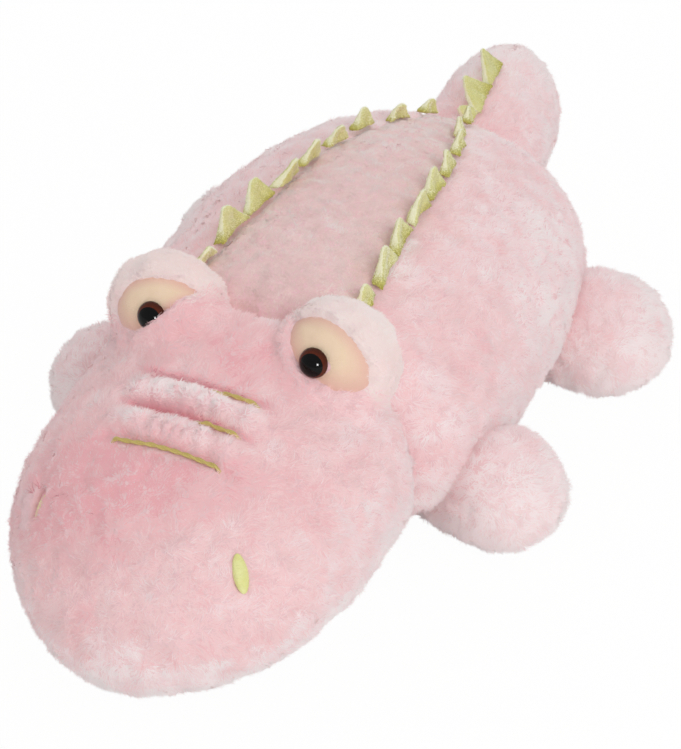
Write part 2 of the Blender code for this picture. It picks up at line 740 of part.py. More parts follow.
def make_eye(name, side, parent, materials, head_cutter, body_cutter):
    """One eye mound: pink hood, cream eyeball, stuffing, plastic eye and its washer."""
    form = mound_form(side)
    inner = form.grown(-PLUSH)
    ball = form.grown(VELOUR - PLUSH)
    hood = new_object(
        name + "_eyelid",
        *skin_mesh(form, inner, lambda row, column: row >= EYEBALL_RINGS - 1),
        materials["eyelid"].copy(),
        parent,
    )
    eyeball = new_object(
        name + "_eyeball",
        *skin_mesh(ball, inner, lambda row, column: row < EYEBALL_RINGS - 1),
        materials["eyeball"].copy(),
        parent,
    )
    fill_mesh = form.grown(-FILL_DEPTH).mesh()
    fill = new_object(name + "_mound_stuffing", *fill_mesh, materials["mound_stuffing"].copy(), parent)
    cut(hood, head_cutter, body_cutter)
    cut(eyeball, head_cutter)
    cut(fill, head_cutter, body_cutter)

    radii = [size / 2 - PLUSH + VELOUR for size in (MOUND_WIDTH, MOUND_LENGTH, MOUND_HEIGHT)]
    yaw = EYE_YAW + MOUND_FACE_YAW
    look = Vector((-side * sin(yaw), -cos(yaw) * cos(EYE_PITCH), sin(EYE_PITCH)))
    reach = 1 / sqrt(sum((part / radius) ** 2 for part, radius in zip(look, radii)))
    outward = Vector([part / radius**2 for part, radius in zip(look, radii)])
    frame = mound_frame(side) @ facing_matrix(look * reach, outward, Vector((0, 0, 1)))

    ball_radius = min(radii)
    eye_radius, shank = EYE_DIAMETER / 2, EYE_SHANK / 2
    dish = eye_radius**2 * ball_radius / (2 * max(radii) ** 2)
    dome_turns = [pi / 2 * ring / BEAD_RINGS for ring in range(BEAD_RINGS + 1)]
    profile = [(eye_radius * sin(turn), CLEARANCE + EYE_DOME * cos(turn)) for turn in dome_turns]
    profile += [(eye_radius, CLEARANCE - dish), (shank, CLEARANCE)]
    profile += [(shank, -EYE_SHANK_LENGTH), (0, -EYE_SHANK_LENGTH)]
    points, faces = turned_mesh(profile, ROUND_SIDES)
    new_object(name + "_eye", moved_points(points, frame), faces, materials["eye"].copy(), parent)

    washer = WASHER_DIAMETER / 2
    facet = ball_radius * (1 - cos(radians(MOUND_DEGREES[1]) / 2))
    seat = -VELOUR - CLEARANCE - facet - washer**2 / (2 * (ball_radius - VELOUR))
    under = seat - WASHER_THICKNESS
    hole = shank + CLEARANCE
    ring = [(hole, seat), (hole, under), (washer, under), (washer, seat), (hole, seat)]
    points, faces = closed_ring(*turned_mesh(ring, ROUND_SIDES), ROUND_SIDES)
    new_object(name + "_eye_washer", moved_points(points, frame), faces, materials["washer"].copy(), parent)

    deep = -EYE_SHANK_LENGTH - CLEARANCE
    pocket = [(0, VELOUR), (washer + CLEARANCE, VELOUR), (washer + CLEARANCE, under - CLEARANCE)]
    pocket += [(hole, under - CLEARANCE), (hole, deep), (0, deep)]
    points, faces = turned_mesh(pocket, ROUND_SIDES)
    cut(fill, new_cutter(name + "_washer_pocket", moved_points(points, frame), faces))
    tunnel = [(0, VELOUR), (hole, VELOUR), (hole, -2 * VELOUR), (0, -2 * VELOUR)]
    points, faces = turned_mesh(tunnel, ROUND_SIDES)
    cut(eyeball, new_cutter(name + "_shank_hole", moved_points(points, frame), faces))


def closed_ring(points, faces, sides):
    """A turned profile that ends where it began, with its last ring of points taken out."""
    kept = len(points) - sides
    return points[:kept], [tuple(corner % kept for corner in face) for face in faces]


def make_nostril(name, side, parent, material, head, head_cutter):
    """One nostril: an oval of satin stitch, its long way down the slope of the snout."""
    above = Vector((side * NOSTRIL_SPREAD / 2, NOSE_Y + NOSTRIL_FROM_NOSE, HEAD_HEIGHT))
    spot, normal, _, _ = head.tree().ray_cast(above, Vector((0, 0, -1)))
    frame = facing_matrix(spot, normal, Vector((normal.x, normal.y, 0)))
    turns = [pi * ring / BEAD_RINGS for ring in range(BEAD_RINGS + 1)]
    profile = [(round(sin(turn), 6), cos(turn)) for turn in turns]
    points, faces = turned_mesh(profile, BEAD_SIDES)
    points = [
        (x * NOSTRIL_LENGTH / 2, y * NOSTRIL_WIDTH / 2, (z - 1) * NOSTRIL_WIDTH / 2 + NOSTRIL_PROUD)
        for x, y, z in points
    ]
    cut(new_object(name, moved_points(points, frame), faces, material, parent), head_cutter)


def ground_below(tree, x, y):
    """The height of the highest surface at a place, looked for from above."""
    spot, _, _, _ = tree.ray_cast(Vector((x, y, 2 * BODY_HEIGHT)), Vector((0, 0, -1)))
    return None if spot is None else spot.z


def make_thread(name, row, parent, material, head):
    """One wrinkle thread: a cord laid in its crease across the snout, clear of the slopes beside it."""
    tree = head.tree()
    curve = bpy.data.curves.new(name, "CURVE")
    curve.dimensions = "3D"
    curve.bevel_depth = THREAD / 2
    curve.bevel_resolution = 1
    curve.use_fill_caps = True
    spline = curve.splines.new("POLY")
    spline.points.add(THREAD_POINTS - 1)
    along = NOSE_Y + WRINKLE_FROM_NOSE + row * WRINKLE_PITCH
    for index, point in enumerate(spline.points):
        across = THREAD_LENGTH * (index / (THREAD_POINTS - 1) - 0.5)
        ground = ground_below(tree, across, along)
        steps = ((0, THREAD), (0, -THREAD), (THREAD, 0), (-THREAD, 0))
        rises = [(ground_below(tree, across + x, along + y) - ground) / THREAD for x, y in steps]
        slope = sqrt(max(rises[0] ** 2, rises[1] ** 2) + max(rises[2] ** 2, rises[3] ** 2))
        point.co = (across, along, ground + (THREAD / 2 + CLEARANCE) * sqrt(1 + slope**2), 1)
    curve.materials.append(material)
    thread = bpy.data.objects.new(name, curve)
    bpy.context.scene.collection.objects.link(thread)
    thread.parent = parent
    thread.matrix_parent_inverse = parent.matrix_world.inverted()


def spike_mesh(base, height, spot, up, along, lean):
    """A folded triangle of velour with a round tip, thick at its foot, its base along a seam.

    It leans from square to the surface, in degrees towards the left of the way along.
    """
    tilt = Matrix.Rotation(-radians(lean), 3, along)
    frame = facing_matrix(spot, tilt @ up, along)
    tip = atan2(base / 2, height)
    turns = [tip + (pi - 2 * tip) * point / (SPIKE_TIP_POINTS - 1) for point in range(SPIKE_TIP_POINTS)]
    outline = [(-base / 2, -SPIKE_SEAT), (base / 2, -SPIKE_SEAT), (base / 2, 0)]
    outline += [(SPIKE_TIP * cos(turn), height - SPIKE_TIP + SPIKE_TIP * sin(turn)) for turn in turns]
    outline.append((-base / 2, 0))
    count = len(outline)
    points = []
    for side in (1, -1):
        for along, up in outline:
            thick = SPIKE_THICKNESS + (SPIKE_EDGE - SPIKE_THICKNESS) * up / height
            points.append((along, side * thick / 2, up))
    faces = [tuple(range(count)), tuple(reversed(range(count, 2 * count)))]
    for index in range(count):
        after = (index + 1) % count
        faces.append((index, after, after + count, index + count))
    return moved_points(points, frame), faces


def make_spikes(parent, material, body, body_cutter):
    """The two rows of spikes in the seams beside the back panel."""
    first = BODY_FRONT_Y + SPIKE_FIRST_FROM_FRONT
    pitch = (BODY_REAR_Y - SPIKE_LAST_FROM_REAR - first) / (len(SPIKE_SIZE_SHARES) - 1)
    left, right = BACK_COLUMNS, body.rings.shape[1] - BACK_COLUMNS
    for row, column, leans in (("left", left, LEFT_LEAN_DEGREES), ("right", right, RIGHT_LEAN_DEGREES)):
        for index, (size, tilt) in enumerate(zip(SPIKE_SIZE_SHARES, leans)):
            lean = tilt * (1 if row == "left" else -1)
            spot, normal, along = body.seam(column, first + index * pitch)
            mesh = spike_mesh((pitch - SPIKE_GAP) * size, SPIKE_HEIGHT * size, spot, normal, along, lean)
            cut(new_object(f"spike_{row}_{index + 1:02d}", *mesh, material.copy(), parent), body_cutter)


def make_tail_spikes(parent, material, tail, tail_cutter):
    """The larger spikes along the tail's ridge, one behind the other."""
    start = BODY_REAR_Y - TAIL_SPIKE_START
    for index, (size, lean) in enumerate(zip(TAIL_SPIKE_SIZE_SHARES, TAIL_LEAN_DEGREES)):
        base = TAIL_SPIKE_BASE * size
        spot, normal, along = tail.seam(0, start + base / 2)
        start += base + SPIKE_GAP
        mesh = spike_mesh(base, TAIL_SPIKE_HEIGHT * size, spot, normal, along, lean)
        cut(new_object(f"tail_spike_{index + 1}", *mesh, material.copy(), parent), tail_cutter)


def leg_crease(side, along, breadth, body_tree):
    """The hinge of a leg: a point on its top crease, and the flank's direction there."""
    outside = Vector((side * BODY_WIDTH, along, LEG_HEIGHT + CLEARANCE))
    spot, _, _, _ = body_tree.ray_cast(outside, Vector((-side, 0, 0)))
    place = along - BODY_FRONT_Y
    slope = (body_half_width(place + breadth / 4) - body_half_width(place - breadth / 4)) / (breadth / 2)
    return spot, Vector((side * slope, 1, 0)).normalized()


def tail_crease(body_tree, tail):
    """The hinge of the tail: the point where its top meets the torso."""
    for place in np.linspace(TAIL_FRONT_Y, BODY_REAR_Y, CREASE_STEPS):
        spot, _, _ = tail.seam(0, place)
        ground = ground_below(body_tree, spot.x, spot.y)
        if ground is None or ground <= spot.z:
            break
    return spot


def main():
    """Builds the crocodile."""
    for old in list(bpy.data.objects):
        bpy.data.objects.remove(old, do_unlink=True)
    pinks = ("left_flank_panel", "right_flank_panel", "belly_panel", "snout_top_panel", "chin_panel")
    pinks += ("tail_left_panel", "tail_right_panel", "leg_skin", "eyelid")
    cloths = {name: PINK for name in pinks}
    cloths |= {"back_panel": PINK_GREY, "eyeball": CREAM, "spike": LIME, "thread": THREAD_GREEN}
    fills = ("body_stuffing", "head_stuffing", "tail_stuffing", "leg_stuffing", "mound_stuffing")
    materials = {name: new_material(name, colour, 0.9) for name, colour in cloths.items()}
    materials |= {name: new_material(name, FIBRE_WHITE, 1.0) for name in fills}
    materials["nostril"] = new_material("nostril", NOSTRIL_GREEN, 0.5)
    materials["eye"] = new_material("eye", EYE_BROWN, 0.1)
    materials["washer"] = new_material("washer", WASHER_WHITE, 0.4)

    body, head, smooth_head, tail = body_form(), head_form(True), head_form(False), tail_form()
    body_tree = body.grown(CLEARANCE).tree()
    body_cutter = new_cutter("torso_volume", *body.grown(CLEARANCE).mesh())
    head_cutter = new_cutter("head_volume", *head.grown(CLEARANCE).mesh())
    tail_cutter = new_cutter("tail_volume", *tail.grown(CLEARANCE).mesh())

    torso = new_empty("torso", (0, 0, 0))
    make_body(torso, materials, body)
    make_head(torso, materials, head, smooth_head, body_cutter)
    make_spikes(torso, materials["spike"], body, body_cutter)
    for name, side in (("left", 1), ("right", -1)):
        make_eye(name, side, torso, materials, head_cutter, body_cutter)
        make_nostril(name + "_nostril", side, torso, materials["nostril"].copy(), head, head_cutter)
    for row in range(WRINKLE_COUNT):
        make_thread(f"wrinkle_thread_{row + 1}", row, torso, materials["thread"].copy(), head)

    front_left, front_right = BODY_FRONT_Y + FRONT_LEFT_FROM_FRONT, BODY_FRONT_Y + FRONT_RIGHT_FROM_FRONT
    rear_left, rear_right = BODY_REAR_Y - REAR_LEFT_FROM_REAR, BODY_REAR_Y - REAR_RIGHT_FROM_REAR
    legs = {
        "front_left_leg": (1, front_left, FRONT_LEFT_REACH, FRONT_LEG_BREADTH, FRONT_LEFT_SPLAY),
        "front_right_leg": (-1, front_right, FRONT_RIGHT_REACH, FRONT_LEG_BREADTH, FRONT_RIGHT_SPLAY),
        "rear_left_leg": (1, rear_left, REAR_LEFT_REACH, REAR_LEG_BREADTH, REAR_LEFT_SPLAY),
        "rear_right_leg": (-1, rear_right, REAR_RIGHT_REACH, REAR_LEG_BREADTH, REAR_RIGHT_SPLAY),
    }
    for name, (side, along, reach, breadth, splay) in legs.items():
        spot, flank = leg_crease(side, along, breadth, body_tree)
        leg = new_empty(name, spot, torso)
        make_leg(name, leg, materials, leg_form(side, along, reach, breadth, splay), body_cutter)
        print(name, "hinge at", spot, "along", flank)

    spot = tail_crease(body_tree, tail)
    rump = new_empty("tail", spot, torso)
    make_tail(rump, materials, tail, body_cutter)
    make_tail_spikes(rump, materials["spike"], tail, tail_cutter)
    print("tail hinge at", spot)


if __name__ == "__main__":
    main()
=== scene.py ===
"""Dresses the frame of a plush crocodile: skins, pile, velour, eyes, stitches and the studio round it.

Metres, +Z up, nose towards -Y, the animal's left towards +X, standing on z = 0.
"""

import json
import logging
from collections.abc import Callable, Iterator
from contextlib import contextmanager
from dataclasses import dataclass, field
from enum import Enum, IntEnum
from math import cos, pi, radians, sin, sqrt

import bmesh
import bpy
import numpy as np
from mathutils import Matrix, Vector
from mathutils.bvhtree import BVHTree

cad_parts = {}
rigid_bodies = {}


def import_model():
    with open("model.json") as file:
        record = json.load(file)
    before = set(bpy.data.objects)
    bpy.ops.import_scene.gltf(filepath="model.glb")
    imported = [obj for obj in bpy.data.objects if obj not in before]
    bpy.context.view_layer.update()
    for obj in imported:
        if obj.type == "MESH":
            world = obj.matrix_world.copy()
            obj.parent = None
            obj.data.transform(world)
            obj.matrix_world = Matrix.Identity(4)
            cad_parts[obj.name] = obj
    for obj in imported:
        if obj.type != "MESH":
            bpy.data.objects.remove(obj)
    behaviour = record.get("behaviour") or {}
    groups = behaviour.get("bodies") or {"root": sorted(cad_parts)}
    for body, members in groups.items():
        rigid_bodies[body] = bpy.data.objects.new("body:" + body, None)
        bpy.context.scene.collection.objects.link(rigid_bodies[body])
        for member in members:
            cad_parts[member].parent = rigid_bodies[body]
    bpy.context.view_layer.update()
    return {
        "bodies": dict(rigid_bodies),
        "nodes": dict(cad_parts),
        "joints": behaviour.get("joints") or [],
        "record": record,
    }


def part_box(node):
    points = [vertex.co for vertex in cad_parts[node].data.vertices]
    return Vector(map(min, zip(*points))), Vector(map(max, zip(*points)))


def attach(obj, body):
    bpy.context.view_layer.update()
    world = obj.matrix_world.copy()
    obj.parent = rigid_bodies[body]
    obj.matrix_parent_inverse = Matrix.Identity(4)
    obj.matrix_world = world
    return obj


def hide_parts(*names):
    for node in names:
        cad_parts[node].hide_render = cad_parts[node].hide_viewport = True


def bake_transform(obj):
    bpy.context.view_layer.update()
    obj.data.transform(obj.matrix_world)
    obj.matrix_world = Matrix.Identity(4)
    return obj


log = logging.getLogger("plush_crocodile")

Array = np.ndarray
Piece = bpy.types.Object
Material = bpy.types.Material
Colour = tuple[float, float, float]
Field = Callable[[Array, Array], Array]

MM2_IN_M2 = 1e6
SAME_POINT = 0.00002
FAR_OFF = 9.0

THREAD_ROWS = (1, 2, 3)
SPIKES_IN_A_ROW = 9
SPIKES_ON_THE_TAIL = 3

DRIFT_TABLE = 4096
DRIFT_SHIFT = 512
DRIFT_KEYS = (73856093, 19349663, 83492791)

STRAND_POINTS = 5
STRAND_CORNERS = (0, 1, 3, 2, 2, 3, 4)
STRAND_FACE_STARTS = (0, 4)
TONE_STEPS = (-0.5, 0.0, 0.28, 0.5, 0.72)

CHIN_LEVEL = 0.042
UNDERSIDE = -0.45
TOP_SIDE = 0.1
# Painted light: how strongly the pile takes the cloth's painted paleness.
PILE_PAINTED_LIGHT = 0.42
HIDDEN_DEPTH = 0.006


class Signal:
    """A shader socket that takes part in Python sums, each of which adds its Math node."""

    def __init__(self, graph: "Graph", socket: bpy.types.NodeSocket) -> None:
        """Wraps one output socket.

        Args:
            graph: The graph that the socket belongs to.
            socket: The output socket.
        """
        self.graph = graph
        self.socket = socket

    def __add__(self, other: "Signal | float") -> "Signal":
        """The sum of two values."""
        return self.graph.maths("ADD", self, other)

    def __sub__(self, other: "Signal | float") -> "Signal":
        """The difference of two values."""
        return self.graph.maths("SUBTRACT", self, other)

    def __mul__(self, other: "Signal | float") -> "Signal":
        """The product of two values."""
        return self.graph.maths("MULTIPLY", self, other)

    def clamped(self) -> "Signal":
        """This value, kept between 0 and 1."""
        return self.graph.maths("ADD", self, 0.0, clamp=True)


class Graph:
    """The node graph of one material."""

    def __init__(self, name: str) -> None:
        """Makes the material, with its own shader and output nodes.

        Args:
            name: The material's name.
        """
        self.material = bpy.data.materials.new(name)
        self.material.use_nodes = True
        self.tree = self.material.node_tree
        self.shader = self.tree.nodes["Principled BSDF"]

    def node(
        self, kind: str, settings: dict[str, object], inputs: dict[str | int, object]
    ) -> bpy.types.Node:
        """Adds one node.

        Args:
            kind: The node's type.
            settings: Its properties, set first.
            inputs: Values or signals for its sockets, by name or number.

        Returns:
            The node.
        """
        made = self.tree.nodes.new(kind)
        for name, value in settings.items():
            setattr(made, name, value)
        for key, value in inputs.items():
            self.feed(made.inputs[key], value)
        return made

    def feed(self, socket: bpy.types.NodeSocket, value: object) -> None:
        """Links a signal to a socket, or sets its value."""
        if isinstance(value, Signal):
            self.tree.links.new(value.socket, socket)
        else:
            socket.default_value = value

    def maths(self, operation: str, first: object, second: object, clamp: bool = False) -> Signal:
        """One Math node on two values."""
        settings = {"operation": operation, "use_clamp": clamp}
        made = self.node("ShaderNodeMath", settings, {0: first, 1: second})
        return Signal(self, made.outputs[0])

    def place(self) -> Signal:
        """The object coordinates of the shaded point."""
        return Signal(self, self.node("ShaderNodeTexCoord", {}, {}).outputs["Object"])

    def attribute(self, name: str) -> Signal:
        """A value that the mesh carries under a name."""
        return Signal(self, self.node("ShaderNodeAttribute", {"attribute_name": name}, {}).outputs["Fac"])

    def noise(self, size: float, detail: float = 2.0) -> Signal:
        """Noise whose spots are about a size across, from 0 to 1.

        Args:
            size: The size of the spots.
            detail: How many finer layers it has.

        Returns:
            The noise.
        """
        inputs = {"Vector": self.place(), "Scale": 1 / size, "Detail": detail}
        return Signal(self, self.node("ShaderNodeTexNoise", {}, inputs).outputs["Fac"])

    def mix(self, share: object, first: object, second: object) -> Signal:
        """A colour between two colours, each given as sRGB or as a signal."""
        inputs = {0: share}
        for key, colour in ((6, first), (7, second)):
            inputs[key] = colour if isinstance(colour, Signal) else (*linear(colour), 1)
        made = self.node("ShaderNodeMix", {"data_type": "RGBA"}, inputs)
        return Signal(self, made.outputs[2])

    def bump(self, height: Signal, depth: float) -> Signal:
        """A normal raised by a height from 0 to 1 times a depth."""
        made = self.node("ShaderNodeBump", {}, {"Height": height, "Distance": depth, "Strength": 1.0})
        return Signal(self, made.outputs[0])

    def dress(self, **sockets: object) -> Material:
        """Sets the shader's sockets, named in lower case with underscores, and returns the material."""
        for name, value in sockets.items():
            socket = self.shader.inputs[SOCKETS[name]]
            if name == "base_color" and not isinstance(value, Signal):
                value = (*linear(value), 1)
            self.feed(socket, value)
        return self.material


SOCKETS = {
    "base_color": "Base Color",
    "roughness": "Roughness",
    "normal": "Normal",
    "specular": "Specular IOR Level",
    "sheen": "Sheen Weight",
    "sheen_roughness": "Sheen Roughness",
}


def linear(colour: Colour) -> Colour:
    """An sRGB colour as the linear values that a socket takes."""
    return tuple(((part + 0.055) / 1.055) ** 2.4 if part > 0.04 else part / 12.92 for part in colour)


@dataclass(frozen=True)
class SkinFinish:
    """The cloth that the pile stands on, as it shows between the tufts."""

    name: str
    deep: Colour
    pale: Colour
    # Painted shade in the creases and the nostril's dent.
    crease: Colour
    # Painted light low down and far out, and the brow's own pale cloth.
    worn: Colour
    patch: float = 0.045
    grain: float = 0.0016
    depth: float = 0.0009

    def material(self) -> Material:
        """The cloth's material."""
        graph = Graph(self.name)
        patches = graph.noise(self.patch)
        grain = graph.noise(self.grain, 3.0)
        share = (patches * 1.3 - 0.3 + grain * 0.6 - 0.15).clamped()
        # Painted light low down and far out, and the brow's own pale cloth, by the mesh's attribute.
        plain = graph.mix(graph.attribute("worn"), graph.mix(share, self.deep, self.pale), self.worn)
        return graph.dress(
            # Painted shade in the creases and the nostril's dent, by the mesh's attribute.
            base_color=graph.mix(graph.attribute("crease"), plain, self.crease),
            roughness=0.95,
            specular=0.2,
            sheen=0.3,
            sheen_roughness=0.5,
            normal=graph.bump(grain, self.depth),
        )


@dataclass(frozen=True)
class Shades:
    """The colours of one pile, from its roots in shade to its bleached tips."""

    name: str
    colours: tuple[Colour, ...]
    sheen: float = 0.6

    def materials(self) -> list[Material]:
        """One plain material for each shade."""
        made = []
        for number, colour in enumerate(self.colours):
            strand = {"specular": 0.15, "sheen": self.sheen, "sheen_roughness": 0.45}
            made.append(Graph(f"{self.name}_{number}").dress(base_color=colour, roughness=0.9, **strand))
        return made


@dataclass(frozen=True)
class VelourFinish:
    """Short velour, with painted light on its rim, a highlight on the spikes and shade at the edge of the
    eyes' patches, and painted shade over a darker colour of its own in its folds.
    """

    name: str
    face: Colour
    mottle: Colour
    rim: Colour
    fold: Colour
    cloud: float = 0.006
    nap: float = 0.0005
    depth: float = 0.0003

    def material(self) -> Material:
        """The velour's material."""
        graph = Graph(self.name)
        cloud = graph.noise(self.cloud)
        nap = graph.noise(self.nap)
        face = graph.mix((cloud * 1.6 - 0.3).clamped(), self.face, self.mottle)
        # Painted shade in the folds, over a darker colour of the velour's own.
        folded = graph.mix((graph.attribute("fold") + nap * 0.2 - 0.1).clamped(), face, self.fold)
        # Painted light on the rim: a highlight on the spikes, shade at the edge of the eyes' patches.
        edge = (graph.attribute("rim") + nap * 0.2 - 0.1).clamped()
        return graph.dress(
            base_color=graph.mix(edge, folded, self.rim),
            roughness=0.85,
            specular=0.25,
            sheen=0.35,
            sheen_roughness=0.35,
            normal=graph.bump(nap, self.depth),
        )


@dataclass(frozen=True)
class StitchFinish:
    """Silky embroidery thread."""

    name: str
    light: Colour
    dark: Colour
    cloud: float = 0.005
    fibre: float = 0.0006
    depth: float = 0.0002

    def material(self) -> Material:
        """The thread's material."""
        graph = Graph(self.name)
        fibre = graph.noise(self.fibre)
        cloud = graph.noise(self.cloud, 1.0)
        share = (cloud * 0.9 + fibre * 0.6 - 0.3).clamped()
        return graph.dress(
            base_color=graph.mix(share, self.dark, self.light),
            roughness=0.45,
            specular=0.5,
            sheen=0.2,
            normal=graph.bump(fibre, self.depth),
        )


@dataclass(frozen=True)
class EyeFinish:
    """Glossy moulded plastic, a brown iris round a black pupil, told apart by the mesh's own attribute."""

    name: str
    pupil: Colour
    iris: Colour
    iris_rim: Colour
    streak: float = 0.0012
    pupil_share: float = 0.76
    edge_slope: float = 30.0

    def material(self) -> Material:
        """The eye's material."""
        graph = Graph(self.name)
        out = graph.attribute("out")
        streaks = graph.noise(self.streak)
        iris = graph.mix(((out - 0.72) * 3.2 + (streaks - 0.5) * 0.8).clamped(), self.iris, self.iris_rim)
        edge = ((out - self.pupil_share) * self.edge_slope).clamped()
        return graph.dress(base_color=graph.mix(edge, self.pupil, iris), roughness=0.05, specular=0.2)


@dataclass(frozen=True)
class PlainFinish:
    """One colour with a faint grain, for what lies out of sight."""

    name: str
    colour: Colour
    shade: Colour
    roughness: float
    grain: float = 0.003

    def material(self) -> Material:
        """The material."""
        graph = Graph(self.name)
        grain = graph.noise(self.grain, 3.0)
        return graph.dress(base_color=graph.mix(grain, self.colour, self.shade), roughness=self.roughness)


PINK_CLOTH = SkinFinish(
    "pink_cloth",
    deep=(0.93, 0.75, 0.765),
    pale=(0.96, 0.82, 0.83),
    # Painted shade in the creases and the nostril's dent.
    crease=(0.80, 0.47, 0.50),
    # Painted light low down and far out, and the brow's own pale cloth.
    worn=(0.97, 0.88, 0.875),
)
PINK_PILE = Shades(
    "pink_pile",
    (
        # Painted shade: the darkest, for the creases and the nostril's dent.
        (0.84, 0.54, 0.57),
        (0.945, 0.695, 0.715),
        (0.96, 0.76, 0.77),
        (0.975, 0.82, 0.825),
        (0.98, 0.87, 0.875),
        (0.985, 0.92, 0.92),
    ),
)
BACK_PILE = Shades(
    "back_pile",
    (
        (0.80, 0.64, 0.63),
        (0.87, 0.71, 0.70),
        (0.91, 0.76, 0.745),
        (0.93, 0.79, 0.775),
        (0.95, 0.825, 0.81),
        (0.96, 0.87, 0.86),
    ),
)
BROW_PILE = Shades(
    "brow_pile",
    (
        (0.93, 0.79, 0.77),
        (0.955, 0.835, 0.82),
        (0.96, 0.855, 0.84),
        (0.965, 0.87, 0.855),
        (0.965, 0.885, 0.87),
        (0.97, 0.905, 0.89),
    ),
)
# Its darkest shades carry the painted shade at the spikes' feet, its palest the painted highlight on their
# rims.
LIME_NAP = Shades(
    "lime_nap",
    (
        (0.64, 0.61, 0.24),
        (0.76, 0.73, 0.33),
        (0.85, 0.83, 0.48),
        (0.90, 0.89, 0.62),
        (0.93, 0.92, 0.71),
        (0.98, 0.98, 0.86),
    ),
    0.4,
)
LIME_VELOUR = VelourFinish(
    "lime_velour",
    face=(0.88, 0.87, 0.64),
    mottle=(0.84, 0.83, 0.54),
    # Painted highlight on the rims.
    rim=(0.95, 0.94, 0.80),
    # Painted shade at the foot and in the hollows, over the velour's own olive.
    fold=(0.66, 0.63, 0.24),
)
CREAM_VELOUR = VelourFinish(
    "cream_velour",
    face=(0.97, 0.87, 0.76),
    mottle=(0.95, 0.84, 0.72),
    # Painted shade, pinker at the edge of the eye's patch.
    rim=(0.92, 0.74, 0.68),
    fold=(0.92, 0.74, 0.68),
)
OLIVE_THREAD = StitchFinish("olive_thread", light=(0.86, 0.79, 0.47), dark=(0.72, 0.63, 0.33))
LIME_SATIN = StitchFinish("lime_satin", light=(0.93, 0.93, 0.68), dark=(0.86, 0.85, 0.50))
EYE_PLASTIC = EyeFinish("eye_plastic", (0.012, 0.008, 0.008), (0.38, 0.15, 0.07), (0.24, 0.09, 0.04))
WASHER_PLASTIC = PlainFinish("washer_plastic", (0.90, 0.90, 0.88), (0.84, 0.84, 0.82), 0.4)


def alone(piece: Piece) -> None:
    """Selects one piece and nothing else."""
    bpy.ops.object.select_all(action="DESELECT")
    piece.select_set(True)
    bpy.context.view_layer.objects.active = piece


@contextmanager
def editing(piece: Piece) -> Iterator[None]:
    """Edit mode on one piece, with all of it selected."""
    alone(piece)
    bpy.ops.object.mode_set(mode="EDIT")
    bpy.ops.mesh.select_all(action="SELECT")
    try:
        yield
    finally:
        bpy.ops.object.mode_set(mode="OBJECT")


def finish_with(piece: Piece, kind: str, **settings: object) -> None:
    """Adds one modifier to a piece and applies it.

    Args:
        piece: The piece.
        kind: The modifier's type.
        settings: The modifier's own settings.
    """
    modifier = piece.modifiers.new(kind.lower(), kind)
    for name, value in settings.items():
        setattr(modifier, name, value)
    alone(piece)
    bpy.ops.object.modifier_apply(modifier=modifier.name)


def added(name: str, data: bpy.types.ID) -> Piece:
    """A new object in the scene, with its data."""
    piece = bpy.data.objects.new(name, data)
    bpy.context.scene.collection.objects.link(piece)
    return piece


def sphere(name: str, segments: int, rings: int) -> Piece:
    """A new sphere of radius 1 round the origin, its poles on Z."""
    bpy.ops.object.select_all(action="DESELECT")
    bpy.ops.mesh.primitive_uv_sphere_add(segments=segments, ring_count=rings, radius=1)
    piece = bpy.context.object
    piece.name = name
    return piece


def smooth(piece: Piece) -> None:
    """Shades all of a piece's faces smooth."""
    with editing(piece):
        bpy.ops.mesh.faces_shade_smooth()


def copied(nodes: tuple[str, ...], name: str) -> Piece:
    """A new piece with the merged shape of frame nodes, which stay as they are.

    Args:
        nodes: The nodes' names.
        name: The new piece's name.

    Returns:
        The new piece.
    """
    edit = bmesh.new()
    for node in nodes:
        edit.from_mesh(bpy.data.objects[node].data)
    mesh = bpy.data.meshes.new(name)
    edit.to_mesh(mesh)
    edit.free()
    piece = added(name, mesh)
    with editing(piece):
        bpy.ops.mesh.remove_doubles(threshold=SAME_POINT)
    return piece


def clouds(name: str, size: float) -> bpy.types.Texture:
    """A cloudy texture for displacing, with lumps about a size across."""
    texture = bpy.data.textures.new(name, "CLOUDS")
    texture.noise_scale = size
    texture.noise_depth = 1
    return texture


def dress(piece: Piece, *materials: Material) -> None:
    """Gives a piece its materials, in the place of any it has."""
    piece.data.materials.clear()
    for material in materials:
        piece.data.materials.append(material)


def unit(vectors: Array) -> Array:
    """The vectors, each at length 1."""
    return vectors / np.maximum(np.linalg.norm(vectors, axis=-1, keepdims=True), 1e-12)


def above(low: float, high: float, values: Array) -> Array:
    """0 below low, 1 above high, rising evenly between them."""
    return np.clip((values - low) / (high - low), 0, 1)


def dots(first: Array, second: Array) -> Array:
    """The dot product of each pair of vectors, as a column."""
    return (first * second).sum(-1, keepdims=True)


def drift(points: Array, spacing: float, seed: int) -> Array:
    """Smooth random vectors over space.

    Args:
        points: Where they are wanted.
        spacing: Over what distance they change.
        seed: Which set of them.

    Returns:
        One vector for each point.
    """
    table = np.random.default_rng(seed).normal(size=(DRIFT_TABLE, 3))
    scaled = points / spacing + DRIFT_SHIFT
    cell = np.floor(scaled).astype(np.int64)
    part = scaled - cell
    part = part * part * (3 - 2 * part)
    total = np.zeros((len(points), 3))
    for corner in np.ndindex(2, 2, 2):
        keys = (cell + corner) * DRIFT_KEYS
        keys = keys[:, 0] ^ keys[:, 1] ^ keys[:, 2]
        weight = np.prod(np.where(corner, part, 1 - part), axis=1)
        total += table[keys % DRIFT_TABLE] * weight[:, None]
    return total


def vertex_arrays(piece: Piece) -> tuple[Array, Array]:
    """The points and normals of a piece's vertices."""
    mesh = piece.data
    points = np.empty(len(mesh.vertices) * 3)
    normals = np.empty(len(mesh.vertices) * 3)
    mesh.vertices.foreach_get("co", points)
    mesh.vertices.foreach_get("normal", normals)
    return points.reshape(-1, 3), normals.reshape(-1, 3)


